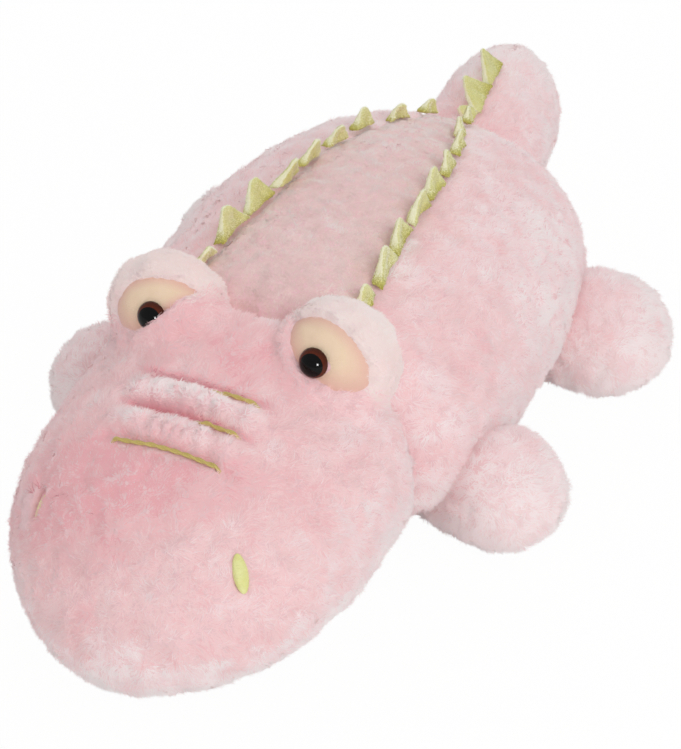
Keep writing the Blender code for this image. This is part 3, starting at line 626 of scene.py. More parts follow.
def move(piece: Piece, points: Array) -> None:
    """Puts a piece's vertices at new points."""
    piece.data.vertices.foreach_set("co", points.ravel())
    piece.data.update()


def within(frame: Matrix, points: Array) -> Array:
    """Points as they stand in a frame."""
    back = np.array(frame.inverted())
    return points @ back[:3, :3].T + back[:3, 3]


def press(piece: Piece, amount: Field) -> None:
    """Moves a piece's vertices along their normals.

    Args:
        piece: The piece.
        amount: Gives how far out each moves, from the points and the normals.
    """
    points, normals = vertex_arrays(piece)
    move(piece, points + normals * amount(points, normals)[:, None])


def note(piece: Piece, name: str, values: Array) -> None:
    """Gives each of a piece's vertices a value that its material reads."""
    attribute = piece.data.attributes.new(name, "FLOAT", "POINT")
    attribute.data.foreach_set("value", values.astype(np.float32))


def settle(piece: Piece, floor: float) -> None:
    """Lifts what lies under the floor up to it."""
    points, _ = vertex_arrays(piece)
    points[:, 2] = np.maximum(points[:, 2], floor)
    move(piece, points)


@dataclass
class Surface:
    """The triangles of a finished skin."""

    points: Array
    normals: Array
    triangles: Array
    tree: BVHTree

    @classmethod
    def of(cls, piece: Piece) -> "Surface":
        """Reads a piece's surface."""
        points, normals = vertex_arrays(piece)
        mesh = piece.data
        mesh.calc_loop_triangles()
        triangles = np.empty(len(mesh.loop_triangles) * 3, np.int64)
        mesh.loop_triangles.foreach_get("vertices", triangles)
        triangles = triangles.reshape(-1, 3)
        tree = BVHTree.FromPolygons(points.tolist(), triangles.tolist())
        return cls(points, normals, triangles, tree)

    def depth(self, points: Array) -> Array:
        """How far inside the surface each point lies. Outside it is less than 0."""
        found = np.empty(len(points))
        for index, point in enumerate(points.tolist()):
            place, normal, _, distance = self.tree.find_nearest(point)
            found[index] = distance if (place - Vector(point)).dot(normal) > 0 else -distance
        return found

    def sunk_in(self, others: list["Surface"], depth: float) -> Array:
        """Which points of this surface lie deeper than a depth inside any of the others."""
        sunk = np.zeros(len(self.points), bool)
        for other in others:
            low, high = other.points.min(0), other.points.max(0)
            near = ((self.points > low) & (self.points < high)).all(1) & ~sunk
            index = np.flatnonzero(near)
            sunk[index] = other.depth(self.points[index]) > depth
        return sunk

    def scatter(
        self, per_m2: float, rng: np.random.Generator, shown: Array
    ) -> tuple[Array, Array]:
        """Random places on the surface.

        Args:
            per_m2: How many to a square metre.
            rng: The source of chance.
            shown: Which triangles take part.

        Returns:
            The places, and the normals there.
        """
        triangles = self.triangles[shown]
        corners = self.points[triangles]
        sides = np.cross(corners[:, 1] - corners[:, 0], corners[:, 2] - corners[:, 0])
        areas = np.linalg.norm(sides, axis=1) / 2
        chosen = rng.choice(len(triangles), int(areas.sum() * per_m2), p=areas / areas.sum())
        first = np.sqrt(rng.random(len(chosen)))
        second = rng.random(len(chosen))
        parts = np.stack([1 - first, first * (1 - second), first * second], axis=1)[..., None]
        places = (corners[chosen] * parts).sum(1)
        normals = unit((self.normals[triangles[chosen]] * parts).sum(1))
        return places, normals

    def around(self, place: Vector, reach: float) -> Vector:
        """The mean normal of the surface round a place."""
        away = np.linalg.norm(self.points - np.array(place), axis=1)
        return Vector(self.normals[away < reach].mean(0)).normalized()

    def below(self, x: float, y: float) -> tuple[Vector, Vector]:
        """The highest point of the surface at a place, and its normal."""
        spot, normal, _, _ = self.tree.ray_cast(Vector((x, y, 1)), Vector((0, 0, -1)))
        return spot, normal


@dataclass(frozen=True)
class Pile:
    """How the pile of one kind of cloth stands: a strand's own sizes, and how strands lie together."""

    length: float = 0.0062
    width: float = 0.00038
    per_mm2: float = 2.05
    rise: float = 0.22
    ruffle: float = 0.05
    steepest: float = 0.34
    lean: float = 0.55
    tuft: float = 0.0050
    pull: float = 0.45
    curl: float = 0.40
    stray: float = 0.22
    relief: float = 0.13
    sink: float = 0.0005
    shortest: float = 0.55
    flattest: float = 0.08
    root_lift: float = 0.12
    root_share: float = 0.38
    root_flat: float = 0.85
    bend_width: float = 0.9
    twist: float = 0.12
    widths: tuple[float, float] = (0.75, 1.25)
    curl_size: float = 0.45
    patch_size: float = 1.6
    patch_rise: float = 0.3
    curl_rise: float = 0.25
    middle_tone: float = 0.5
    mottle: float = 0.13
    mottle_size: float = 0.045
    patch_tone: float = 0.12
    stray_tone: float = 0.08
    off_floor: tuple[float, float] = (0.0004, 0.0006)

    def plant(
        self,
        name: str,
        places: Array,
        normals: Array,
        nap: Array,
        lengths: Array,
        paler: Array,
        seed: int,
        clear: Callable[[Array], Array],
        materials: list[Material],
    ) -> Piece:
        """Makes the pile as one mesh of tapered, bent strands.

        Args:
            name: The piece's name.
            places: The strands' roots.
            normals: The skin's normals there.
            nap: Which way the pile lies there.
            lengths: A share of the full length for each strand.
            paler: How much lighter each strand is than the rest, which carries the painted light and shade
                of its place.
            seed: Which set of chance values.
            clear: Says which points lie where no strand may reach.
            materials: The pile's shades, darkest first.

        Returns:
            The piece.
        """
        rng = np.random.default_rng(seed)
        count = len(places)
        tufts = drift(places, self.tuft, seed)
        curls = drift(places, self.tuft * self.curl_size, seed + 1)
        patches = drift(places, self.tuft * self.patch_size, seed + 2)
        strays = rng.normal(size=(count, 3))
        flat = nap * self.lean + tufts * self.pull + curls * self.curl + strays * self.stray
        flat = unit(flat - normals * dots(flat, normals))
        uneven = 1 + self.patch_rise * patches[:, :1] + self.curl_rise * curls[:, :1]
        rise = np.clip(self.rise * uneven + self.ruffle * strays[:, :1], self.flattest, self.steepest)
        way = flat * np.sqrt(1 - rise**2) + normals * rise
        reach = self.length * rng.uniform(self.shortest, 1, (count, 1)) * lengths[:, None]
        root_way = unit(flat * self.root_flat + normals * (rise + self.root_lift))
        bends = places + root_way * reach * self.root_share
        tips = bends + way * reach * (1 - self.root_share)
        low, spread = self.off_floor
        for points in (bends, tips):
            points[:, 2] = np.maximum(points[:, 2], low + spread * rng.random(count))
        kept = ~(clear(tips) | clear(bends) | clear(places))
        side = unit(np.cross(way, normals)) + (tufts + curls) * self.twist
        side *= self.width / 2 * rng.uniform(*self.widths, (count, 1))
        roots = places - normals * self.sink
        bent = side * self.bend_width
        points = np.stack([roots - side, roots + side, bends - bent, bends + bent, tips], axis=1)
        shading = unit(normals + (way - normals * rise) * self.relief + tufts * self.relief * 0.5)
        mottle = self.mottle * drift(places, self.mottle_size, seed + 3)[:, 0]
        tone = self.middle_tone + mottle + self.patch_tone * patches[:, 1] + self.stray_tone * strays[:, 2]
        tone += paler
        return strand_mesh(name, points[kept], shading[kept], tone[kept], materials)


def strand_mesh(
    name: str,
    points: Array,
    shading: Array,
    tone: Array,
    materials: list[Material],
) -> Piece:
    """A mesh of strands, each a quad at the root and a triangle at the tip, faced outwards.

    Args:
        name: The piece's name.
        points: Five points for each strand, the root pair, the bend pair and the tip.
        shading: The normal that each strand is shaded with.
        tone: From 0, dark, to 1, light, for each strand.
        materials: The shades, darkest first.

    Returns:
        The piece.
    """
    count = len(points)
    mesh = bpy.data.meshes.new(name)
    mesh.vertices.add(count * STRAND_POINTS)
    mesh.loops.add(count * len(STRAND_CORNERS))
    mesh.polygons.add(count * len(STRAND_FACE_STARTS))
    mesh.vertices.foreach_set("co", points.astype(np.float32).ravel())
    corners = np.arange(count)[:, None] * STRAND_POINTS + np.array(STRAND_CORNERS)
    mesh.loops.foreach_set("vertex_index", corners.astype(np.int32).ravel())
    starts = np.arange(count)[:, None] * len(STRAND_CORNERS) + np.array(STRAND_FACE_STARTS)
    mesh.polygons.foreach_set("loop_start", starts.astype(np.int32).ravel())
    shade = np.clip(np.digitize(tone, TONE_STEPS), 0, len(materials) - 1)
    mesh.update(calc_edges=True)
    mesh.normals_split_custom_set_from_vertices(np.repeat(shading, STRAND_POINTS, axis=0).tolist())
    piece = added(name, mesh)
    dress(piece, *materials)
    mesh.polygons.foreach_set("material_index", np.repeat(shade, len(STRAND_FACE_STARTS)).astype(np.int32))
    piece.visible_shadow = False
    piece.visible_diffuse = False
    return piece


@dataclass(frozen=True)
class Band:
    """An amount that comes in evenly where a value rises from low to high."""

    amount: float
    low: float
    high: float

    def of(self, values: Array) -> Array:
        """The amount at each value."""
        return self.amount * above(self.low, self.high, values)


@dataclass(frozen=True)
class Spot:
    """An amount at a place seen from above, fading outwards: across and along, a third of it at half."""

    amount: float
    centre: tuple[float, float]
    half: tuple[float, float]

    def of(self, points: Array) -> Array:
        """The amount at each point."""
        across = (points[:, 0] - self.centre[0]) / self.half[0]
        along = (points[:, 1] - self.centre[1]) / self.half[1]
        return self.amount * np.exp(-(across**2) - along**2)


# Painted light: cloth and pile are painted paler low down, far out to the sides and towards the tail.
PAINTED_LIGHT_HEIGHT = 0.055
PAINTED_LIGHT_LOW_DOWN = Band(0.8, 0.0, 0.050)
PAINTED_LIGHT_SIDE = Band(0.25, 0.085, 0.105)
PAINTED_LIGHT_FAR_OUT = Band(0.15, 0.115, 0.145)
PAINTED_LIGHT_TAIL = Band(0.45, 0.16, 0.19)
# Painted light: the back's pile is painted paler towards the tail.
PAINTED_LIGHT_RUMP = Band(0.28, 0.02, 0.10)
# Painted shade: darker, more saturated pink on the top of the snout, between the eyes and on the animal's
# right side.
PAINTED_SHADE_SNOUT = Spot(0.82, (-0.012, -0.205), (0.045, 0.030))
PAINTED_SHADE_BETWEEN_EYES = Spot(0.36, (0.0, -0.130), (0.035, 0.022))
PAINTED_SHADE_RIGHT_SIDE = Band(0.32, 0.02, 0.07)
DEEPEST_PAINTED_SHADE = 0.62


def worn(points: Array) -> Array:
    """Painted light: how much paler the cloth is painted, from 0 to 1: low down, and far out to the sides
    and the tail.
    """
    out = np.abs(points[:, 0])
    faded = PAINTED_LIGHT_LOW_DOWN.of(PAINTED_LIGHT_HEIGHT - points[:, 2]) + PAINTED_LIGHT_SIDE.of(out)
    return np.minimum(faded + PAINTED_LIGHT_FAR_OUT.of(out) + PAINTED_LIGHT_TAIL.of(points[:, 1]), 1)


def nowhere(points: Array) -> Array:
    """No point is kept clear."""
    return np.zeros(len(points), bool)


def backwards(points: Array, normals: Array) -> Array:
    """Pile that lies towards the tail and down."""
    return np.tile(np.array((0.0, 0.8, -0.6)), (len(points), 1))


def full(points: Array, normals: Array) -> Array:
    """Strands of their full length."""
    return np.ones(len(points))


def even(points: Array, normals: Array) -> Array:
    """Strands no lighter than the rest."""
    return np.zeros(len(points))


@dataclass
class Patch:
    """One panel of pile on a bag: its name, its pile and shades, and where it grows."""

    name: str
    pile: Pile
    shades: list[Material]
    slot: str
    seed: int
    where: Field
    nap: Field = backwards
    lengths: Field = full
    # The painted light and shade of the pile, as how much lighter each strand is.
    tone: Field = even
    clear: Callable[[Array], Array] = nowhere


@dataclass
class Bag:
    """A stuffed bag of plush: one skin over its stuffing, and panels of pile on the skin."""

    name: str
    body: str
    stuffing: str
    nodes: tuple[str, ...]
    fill: float = 0.85
    grow: float = 0.0044
    voxel: float = 0.0030
    ease: int = 30
    lump: float = 0.0022
    lump_size: float = 0.022
    tuft: float = 0.0026
    tuft_size: float = 0.0070
    cloth: Material | None = None
    parent: str = "torso"
    bend: tuple[Vector, Vector] | None = None
    skin: Piece | None = field(init=False, default=None)
    surface: Surface | None = field(init=False, default=None)

    def start(self) -> Piece:
        """The shape that the skin grows from."""
        return copied((self.stuffing,), self.name + "_cover")

    def sew(self) -> None:
        """Makes the skin from the stuffing's shape."""
        self.skin = self.start()
        finish_with(self.skin, "REMESH", mode="VOXEL", voxel_size=self.voxel, use_smooth_shade=True)
        finish_with(self.skin, "SMOOTH", factor=0.5, iterations=self.ease)
        finish_with(self.skin, "DISPLACE", strength=self.grow, mid_level=0)
        finish_with(self.skin, "SUBSURF", levels=1, render_levels=1)
        self.shape()
        for size, strength in ((self.lump_size, self.lump), (self.tuft_size, self.tuft)):
            texture = clouds(self.name, size)
            finish_with(self.skin, "DISPLACE", texture=texture, strength=strength, mid_level=0.5)
        settle(self.skin, 0)
        # Painted light low down and far out, with the brow's own pale cloth on the head.
        note(self.skin, "worn", self.faded(vertex_arrays(self.skin)[0]))
        smooth(self.skin)
        dress(self.skin, self.cloth)
        self.surface = Surface.of(self.skin)

    def faded(self, points: Array) -> Array:
        """How much paler this bag's cloth is painted at each point, as painted light."""
        return worn(points)

    def shape(self) -> None:
        """Presses in what belongs to this bag alone."""

    def join(self, piece: Piece) -> None:
        """Parents a piece to this bag's body, or, for a bag with a bend, only bakes its transform into its
        mesh.
        """
        if self.bend:
            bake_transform(piece)
        else:
            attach(piece, self.body)

    def plant(self, patches: list[Patch], neighbours: list["Bag"]) -> None:
        """Args:
            patches: The panels of pile.
            neighbours: The bags whose skins hide parts of this one.
        """
        sunk = self.surface.sunk_in([bag.surface for bag in neighbours], HIDDEN_DEPTH)
        shown = ~sunk[self.surface.triangles].all(1)
        for patch in patches:
            rng = np.random.default_rng(patch.seed)
            places, normals = self.surface.scatter(patch.pile.per_mm2 * MM2_IN_M2, rng, shown)
            kept = rng.random(len(places)) < patch.where(places, normals)
            places, normals = places[kept], normals[kept]
            grain = [look(places, normals) for look in (patch.nap, patch.lengths, patch.tone)]
            chance = (patch.seed, patch.clear, patch.shades)
            piece = patch.pile.plant(patch.name, places, normals, *grain, *chance)
            self.join(piece)
            log.info("%s: %d strands", piece.name, len(piece.data.polygons) // 2)
        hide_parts(*self.nodes)
        self.join(self.skin)
        report(self.skin)


def report(piece: Piece) -> None:
    """Logs a finished piece."""
    log.info("%s: %d faces", piece.name, len(piece.data.polygons))


def middle(node: str) -> Vector:
    """The middle of a frame node's box."""
    low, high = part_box(node)
    return (low + high) / 2


class Seed(IntEnum):
    """Where each group of piles takes its chance values from. The next pile of a group takes the next."""

    BACK = 11
    BELLY = 14
    FLANKS = 16
    CHEEKS = 21
    CHIN = 23
    BROWS = 24
    LIMBS = 31
    SPIKES = 60
    TAIL_SPIKES = 90


class Crease(Enum):
    """What a crease does to the plush: how far round its line, and how far behind the thread that is."""

    DRAWN_IN = (0.0026, 0.0008)
    # Painted shade on the cloth in the creases.
    DARKENED = (0.0018, 0.0014)
    # Painted shade in the pile of the creases.
    DEEP_PINK = (0.0014, 0.0019)
    SHORT_PILE = (0.0030, 0.0020)


class Side(IntEnum):
    """The animal's own left and right, as the sign of X."""

    LEFT = 1
    RIGHT = -1

    @property
    def label(self) -> str:
        """left or right, as pieces are named."""
        return self.name.lower()


class End(IntEnum):
    """Towards the nose or towards the tail, as the sign of Y."""

    FRONT = -1
    REAR = 1

    @property
    def label(self) -> str:
        """front or rear, as pieces are named."""
        return self.name.lower()


@dataclass
class Mound:
    """One eye mound: where it is, and the egg that its velour and its hood lie on."""

    side: Side
    spread: float = 0.0429
    from_front: float = -0.1075
    height: float = 0.1109
    radii: tuple[float, float, float] = (0.0282, 0.0244, 0.0288)
    face_yaw: float = radians(10)
    eye_yaw: float = radians(4)
    eye_pitch: float = radians(30)
    velour_under: float = 0.0030
    patch_way: tuple[float, float, float] = (0.086, -0.703, 0.706)
    patch_along: tuple[float, float, float] = (0.894, -0.258, -0.366)
    patch_half: tuple[float, float] = (0.90, 0.60)
    brow_edge: float = 0.15
    brow_reach: float = 1.28
    eye_reach: float = 0.0074
    strand_free: float = 0.90
    bare_middle: float = 0.86
    bare_by_eye: float = 0.96
    ragged: float = 0.04
    ragged_size: float = 0.002
    surroundings: float = 1.5
    lid: float = 1.20
    point: float = 0.7
    tuck: float = 0.0
    tuck_line: tuple[tuple[float, ...], tuple[float, ...]] = (
        (-1.0, -0.3, 0.15, 1.0),
        (0.05, -0.52, -0.80, -1.1),
    )

    @property
    def name(self) -> str:
        """left or right."""
        return self.side.label

    def frame(self) -> Matrix:
        """The frame at the mound's centre. Its -Y looks out of the face."""
        centre = Vector((self.side * self.spread, self.from_front, self.height))
        return Matrix.Translation(centre) @ Matrix.Rotation(self.side * self.face_yaw, 4, "Z")

    def eye_frame(self) -> Matrix:
        """The frame where the plastic eye sits on the velour. Its +Z looks out of the eye."""
        radii = [radius - self.velour_under for radius in self.radii]
        yaw = self.eye_yaw + self.face_yaw
        look = Vector((-self.side * sin(yaw), -cos(yaw) * cos(self.eye_pitch), sin(self.eye_pitch)))
        reach = 1 / sqrt(sum((part / radius) ** 2 for part, radius in zip(look, radii)))
        outward = Vector([part / radius**2 for part, radius in zip(look, radii)]).normalized()
        across = Vector((0, 0, 1)).cross(outward).normalized()
        turn = Matrix((across, outward.cross(across), outward)).transposed().to_4x4()
        return self.frame() @ Matrix.Translation(look * reach) @ turn

    def local(self, points: Array) -> Array:
        """Points as seen from the mound's middle, and mirrored for the right mound."""
        return (points - np.array(self.frame().translation)) * np.array((self.side, 1, 1))

    def patch(self, points: Array) -> Array:
        """Where points lie on the bare patch of velour: 0 at its middle, 1 on its edge."""
        local = unit(self.local(points) / np.array(self.radii))
        way = np.array(self.patch_way)
        along = np.array(self.patch_along)
        across = np.cross(way, along)
        half, high = self.patch_half
        far, up = local @ along / half, local @ across / high
        up = np.where(up > 0, up * self.lid, up)
        pointed = self.point * above(0.0, 0.6, -far)
        found = np.hypot(far, up) * (1 - pointed) + (np.abs(up) + far**2) * pointed
        if self.tuck:
            found = np.maximum(found, 1 + self.tuck * (np.interp(far, *self.tuck_line) - up))
        return np.where(local @ way > 0, found, FAR_OFF)

    def brow(self, points: Array) -> Array:
        """How far points belong to the pale brow that hangs over the patch, from 0 to 1."""
        up = np.cross(self.patch_way, self.patch_along)
        edge = self.brow_edge
        return above(-edge, edge, unit(self.local(points)) @ up) * self.inside(points, self.brow_reach)

    def egg(self, name: str, under: float) -> Piece:
        """A new egg.

        Args:
            name: Its name.
            under: How deep it lies under the mound's own surface.

        Returns:
            The egg.
        """
        egg = sphere(name, 96, 64)
        radii = [radius - under for radius in self.radii]
        egg.data.transform(self.frame() @ Matrix.Diagonal((*radii, 1)))
        return egg

    def before_eye(self, points: Array) -> Array:
        """Which points lie in front of the plastic eye."""
        local = within(self.eye_frame(), points)
        return (np.hypot(local[:, 0], local[:, 1]) < self.eye_reach) & (local[:, 2] > -self.velour_under)

    def out(self, points: Array) -> Array:
        """How far out from the egg's middle points lie: 1 on the egg."""
        return np.linalg.norm(within(self.frame(), points) / np.array(self.radii), axis=1)

    def inside(self, points: Array, share: float) -> Array:
        """Which points lie inside the egg at a share of its size."""
        return self.out(points) < share

    def kept_clear(self, points: Array) -> Array:
        """Which points lie where no strand may: in the egg, over the patch's middle or before the eye."""
        patch = self.patch(points) + self.ragged * drift(points, self.ragged_size, 7)[:, 0]
        near = self.inside(points, self.surroundings)
        before = (patch < self.bare_by_eye) & self.before_eye(points)
        return near & (self.inside(points, self.strand_free) | (patch < self.bare_middle) | before)


@dataclass
class Head(Bag):
    """The head and both eye mounds under one skin, with the folds across the snout."""

    ridge: float = 0.0060
    crease: float = 0.0024
    half_width: float = 0.036
    mounds: tuple[Mound, ...] = ()
    mound_under: float = 0.0026
    pocket: float = 0.82
    pleat: float = 0.0013
    pleat_pitch: float = 0.0011
    pleat_drift: float = 0.006
    heaps: tuple[tuple[float, float, float], ...] = ((0.0, -0.0098, 0.0012), (0.0045, -0.0080, 0.0030))
    heap_half: float = 0.0085
    front_bare: float = 0.75
    rear_bare: Band = Band(0.45, 0.0, 0.012)
    crease_heights: tuple[float, float] = (0.045, 0.07)
    facing_up: float = 0.3
    pocket_edge: tuple[float, float] = (0.95, 1.06)
    pocket_reach: float = 1.6
    nostrils: tuple["Nostril", ...] = ()

    def start(self) -> Piece:
        """The stuffing's shape, joined by an egg for each mound."""
        skin = super().start()
        for mound in self.mounds:
            egg = mound.egg(mound.name + "_egg", self.mound_under)
            alone(skin)
            egg.select_set(True)
            bpy.ops.object.join()
        return skin

    def rows(self) -> list[float]:
        """The thread rows' places along the snout."""
        return [middle(f"wrinkle_thread_{row}").y for row in THREAD_ROWS]

    def fade(self, points: Array) -> Array:
        """1 along the middle of the snout, down to 0 at the ends of the folds."""
        return np.clip(1 - (np.abs(points[:, 0]) / self.half_width) ** 4, 0, 1)

    def fold(self, points: Array) -> Array:
        """How far up the folds stand at each point, from 0 at a crease to 1 on a ridge."""
        rows = self.rows()
        pitch = rows[1] - rows[0]
        turns = (points[:, 1] - rows[0]) / pitch
        rise = np.where((turns > 0) & (turns < len(rows) - 1), np.sin(pi * turns) ** 2, 0)
        return rise * self.fade(points)

    def faded(self, points: Array) -> Array:
        """How much paler the cloth is: painted light low down and far out, and the brow's own pale cloth.
        """
        return np.max([worn(points), *(mound.brow(points) for mound in self.mounds)], axis=0)

    def in_crease(self, points: Array, crease: Crease) -> Array:
        """How far points lie in the creases, from 0 to 1.

        Args:
            points: The points.
            crease: What the creases are wanted for.

        Returns:
            One value for each point, lower in the front crease and where the threads lie bare.
        """
        reach, behind = crease.value
        found = np.zeros(len(points))
        for number, row in enumerate(self.rows()):
            share = 1 - (self.rear_bare.of(points[:, 0]) if number else self.front_bare)
            found = np.maximum(found, share * np.exp(-(((points[:, 1] - row - behind) / reach) ** 2)))
        return found * self.fade(points) * above(*self.crease_heights, points[:, 2])

    def pleats(self, points: Array) -> Array:
        """Where the folds are gathered, from -1 in a pleat to 1 between two."""
        across = points[:, 0]
        return np.sin(across / self.pleat_pitch + 3 * np.sin(across / self.pleat_drift))

    def cushion(self, points: Array) -> Array:
        """How far the fur is heaped up at the foot of each eye."""
        heap = np.zeros(len(points))
        for mound, (across, up, amount) in zip(self.mounds, self.heaps):
            foot = np.array(mound.eye_frame() @ Vector((across, up, 0)))
            away = np.linalg.norm(points - foot, axis=1)
            heap += amount * np.exp(-((away / self.heap_half) ** 2))
        return heap

    def shape(self) -> None:
        """Raises the folds behind the threads, draws the creases in, and opens dents and patches."""

        def amount(points: Array, normals: Array) -> Array:
            """Up on a fold and beside an eye, down in a crease."""
            top = normals[:, 2] > self.facing_up
            folds = self.fold(points) * (self.ridge + self.pleat * self.pleats(points))
            drawn_in = self.in_crease(points, Crease.DRAWN_IN) * self.crease
            return np.where(top, folds - drawn_in, 0) + self.cushion(points)

        press(self.skin, amount)
        ground = Surface.of(self.skin)
        dents = np.zeros(len(ground.points))
        for nostril in self.nostrils:
            dents = np.maximum(dents, nostril.in_dent(ground.points, ground))
            press(self.skin, nostril.drawn_in(ground))
        points, _ = vertex_arrays(self.skin)
        # Painted shade in the creases and the nostril's dent.
        note(self.skin, "crease", np.maximum(self.in_crease(points, Crease.DARKENED), dents))
        for mound in self.mounds:
            centre = np.array(mound.frame().translation)
            out = mound.out(points)
            sunk = (1 - above(*self.pocket_edge, mound.patch(points))) * (out < self.pocket_reach)
            share = 1 - sunk * (1 - np.minimum(self.pocket / out, 1))
            points = centre + (points - centre) * share[:, None]
        move(self.skin, points)


@dataclass
class Torso(Bag):
    """The torso, with the two seams that the spikes are sewn into."""

    groove: float = 0.0012
    groove_half: float = 0.0028
    seam_steps: int = 9
    seam_margin: float = 0.004
    facing_up: float = 0.2

    def seam(self, places: Array) -> Array:
        """How far from the middle the back panel's seam lies, at places along the torso."""
        mesh = bpy.data.objects["back_panel"].data
        points = np.array([vertex.co for vertex in mesh.vertices])
        points = points[points[:, 0] > 0]
        steps = np.linspace(points[:, 1].min(), points[:, 1].max(), self.seam_steps)
        centres = (steps[1:] + steps[:-1]) / 2
        widths = []
        for low, high in zip(steps[:-1], steps[1:]):
            low, high = low - self.seam_margin, high + self.seam_margin
            inside = points[(points[:, 1] >= low) & (points[:, 1] <= high)]
            widths.append(inside[:, 0].max() if len(inside) else widths[-1])
        return np.interp(places, centres, widths)

    def shape(self) -> None:
        """Draws the two seams in."""

        def amount(points: Array, normals: Array) -> Array:
            """Less than 0 along a seam, and 0 away from it."""
            away = np.abs(points[:, 0]) - self.seam(points[:, 1])
            line = np.exp(-((away / self.groove_half) ** 2))
            return np.where(normals[:, 2] > self.facing_up, -self.groove * line, 0)

        press(self.skin, amount)


@dataclass
class Eyeball:
    """The cream velour egg between the hood and the snout."""

    mound: Mound
    velour: Material
    dimple: float = 0.0016
    dimple_half: float = 0.0088
    lump: float = 0.0009
    lump_size: float = 0.016
    # Painted shade, pinker towards the edge of the bare patch where the hood and the fur meet it.
    rim: tuple[float, float] = (0.45, 1.0)

    def build(self) -> Piece:
        """Makes the egg, drawn in a little where the eye is held."""
        ball = self.mound.egg(self.mound.name + "_velour_ball", self.mound.velour_under)
        eye = np.array(self.mound.eye_frame().translation)

        def pull(points: Array, normals: Array) -> Array:
            """Less than 0 round the eye's shank."""
            away = np.linalg.norm(points - eye, axis=1)
            return -self.dimple * np.exp(-((away / self.dimple_half) ** 2))

        press(ball, pull)
        texture = clouds("velour_ball", self.lump_size)
        finish_with(ball, "DISPLACE", texture=texture, strength=self.lump, mid_level=0.5)
        smooth(ball)
        # Painted shade, pinker towards the edge of the bare patch.
        note(ball, "rim", above(*self.rim, self.mound.patch(vertex_arrays(ball)[0])))
        dress(ball, self.velour)
        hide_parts(self.mound.name + "_eyeball", self.mound.name + "_mound_stuffing")
        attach(ball, "torso")
        return ball


@dataclass
class Eye:
    """One plastic safety eye, a low dome with a rounded edge."""

    mound: Mound
    plastic: Material
    radius: float = 0.0070
    dome: float = 0.0052
    edge: float = 0.0004
    pupil_shift: tuple[float, float] = (0.0004, -0.0004)
    sunk: float = 0.0006

    def build(self) -> Piece:
        """Makes the dome, and notes how far out from the pupil each point lies."""
        eye = sphere(self.mound.name + "_plastic_eye", 64, 48)
        eye.data.transform(Matrix.Diagonal((self.radius, self.radius, self.dome, 1)))
        with editing(eye):
            bpy.ops.mesh.bisect(plane_co=(0, 0, 0), plane_no=(0, 0, 1), clear_inner=True, use_fill=True)
        for edge in eye.data.edges:
            edge.select = all(abs(eye.data.vertices[end].co.z) < 1e-6 for end in edge.vertices)
        alone(eye)
        bpy.ops.object.mode_set(mode="EDIT")
        bpy.ops.mesh.bevel(offset=self.edge, segments=3, affect="EDGES")
        bpy.ops.object.mode_set(mode="OBJECT")
        points, _ = vertex_arrays(eye)
        out = np.hypot(points[:, 0] - self.pupil_shift[0], points[:, 1] - self.pupil_shift[1]) / self.radius
        note(eye, "out", out)
        eye.data.transform(self.mound.eye_frame() @ Matrix.Translation((0, 0, -self.sunk)))
        smooth(eye)
        dress(eye, self.plastic)
        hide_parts(self.mound.name + "_eye")
        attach(eye, "torso")
        return eye


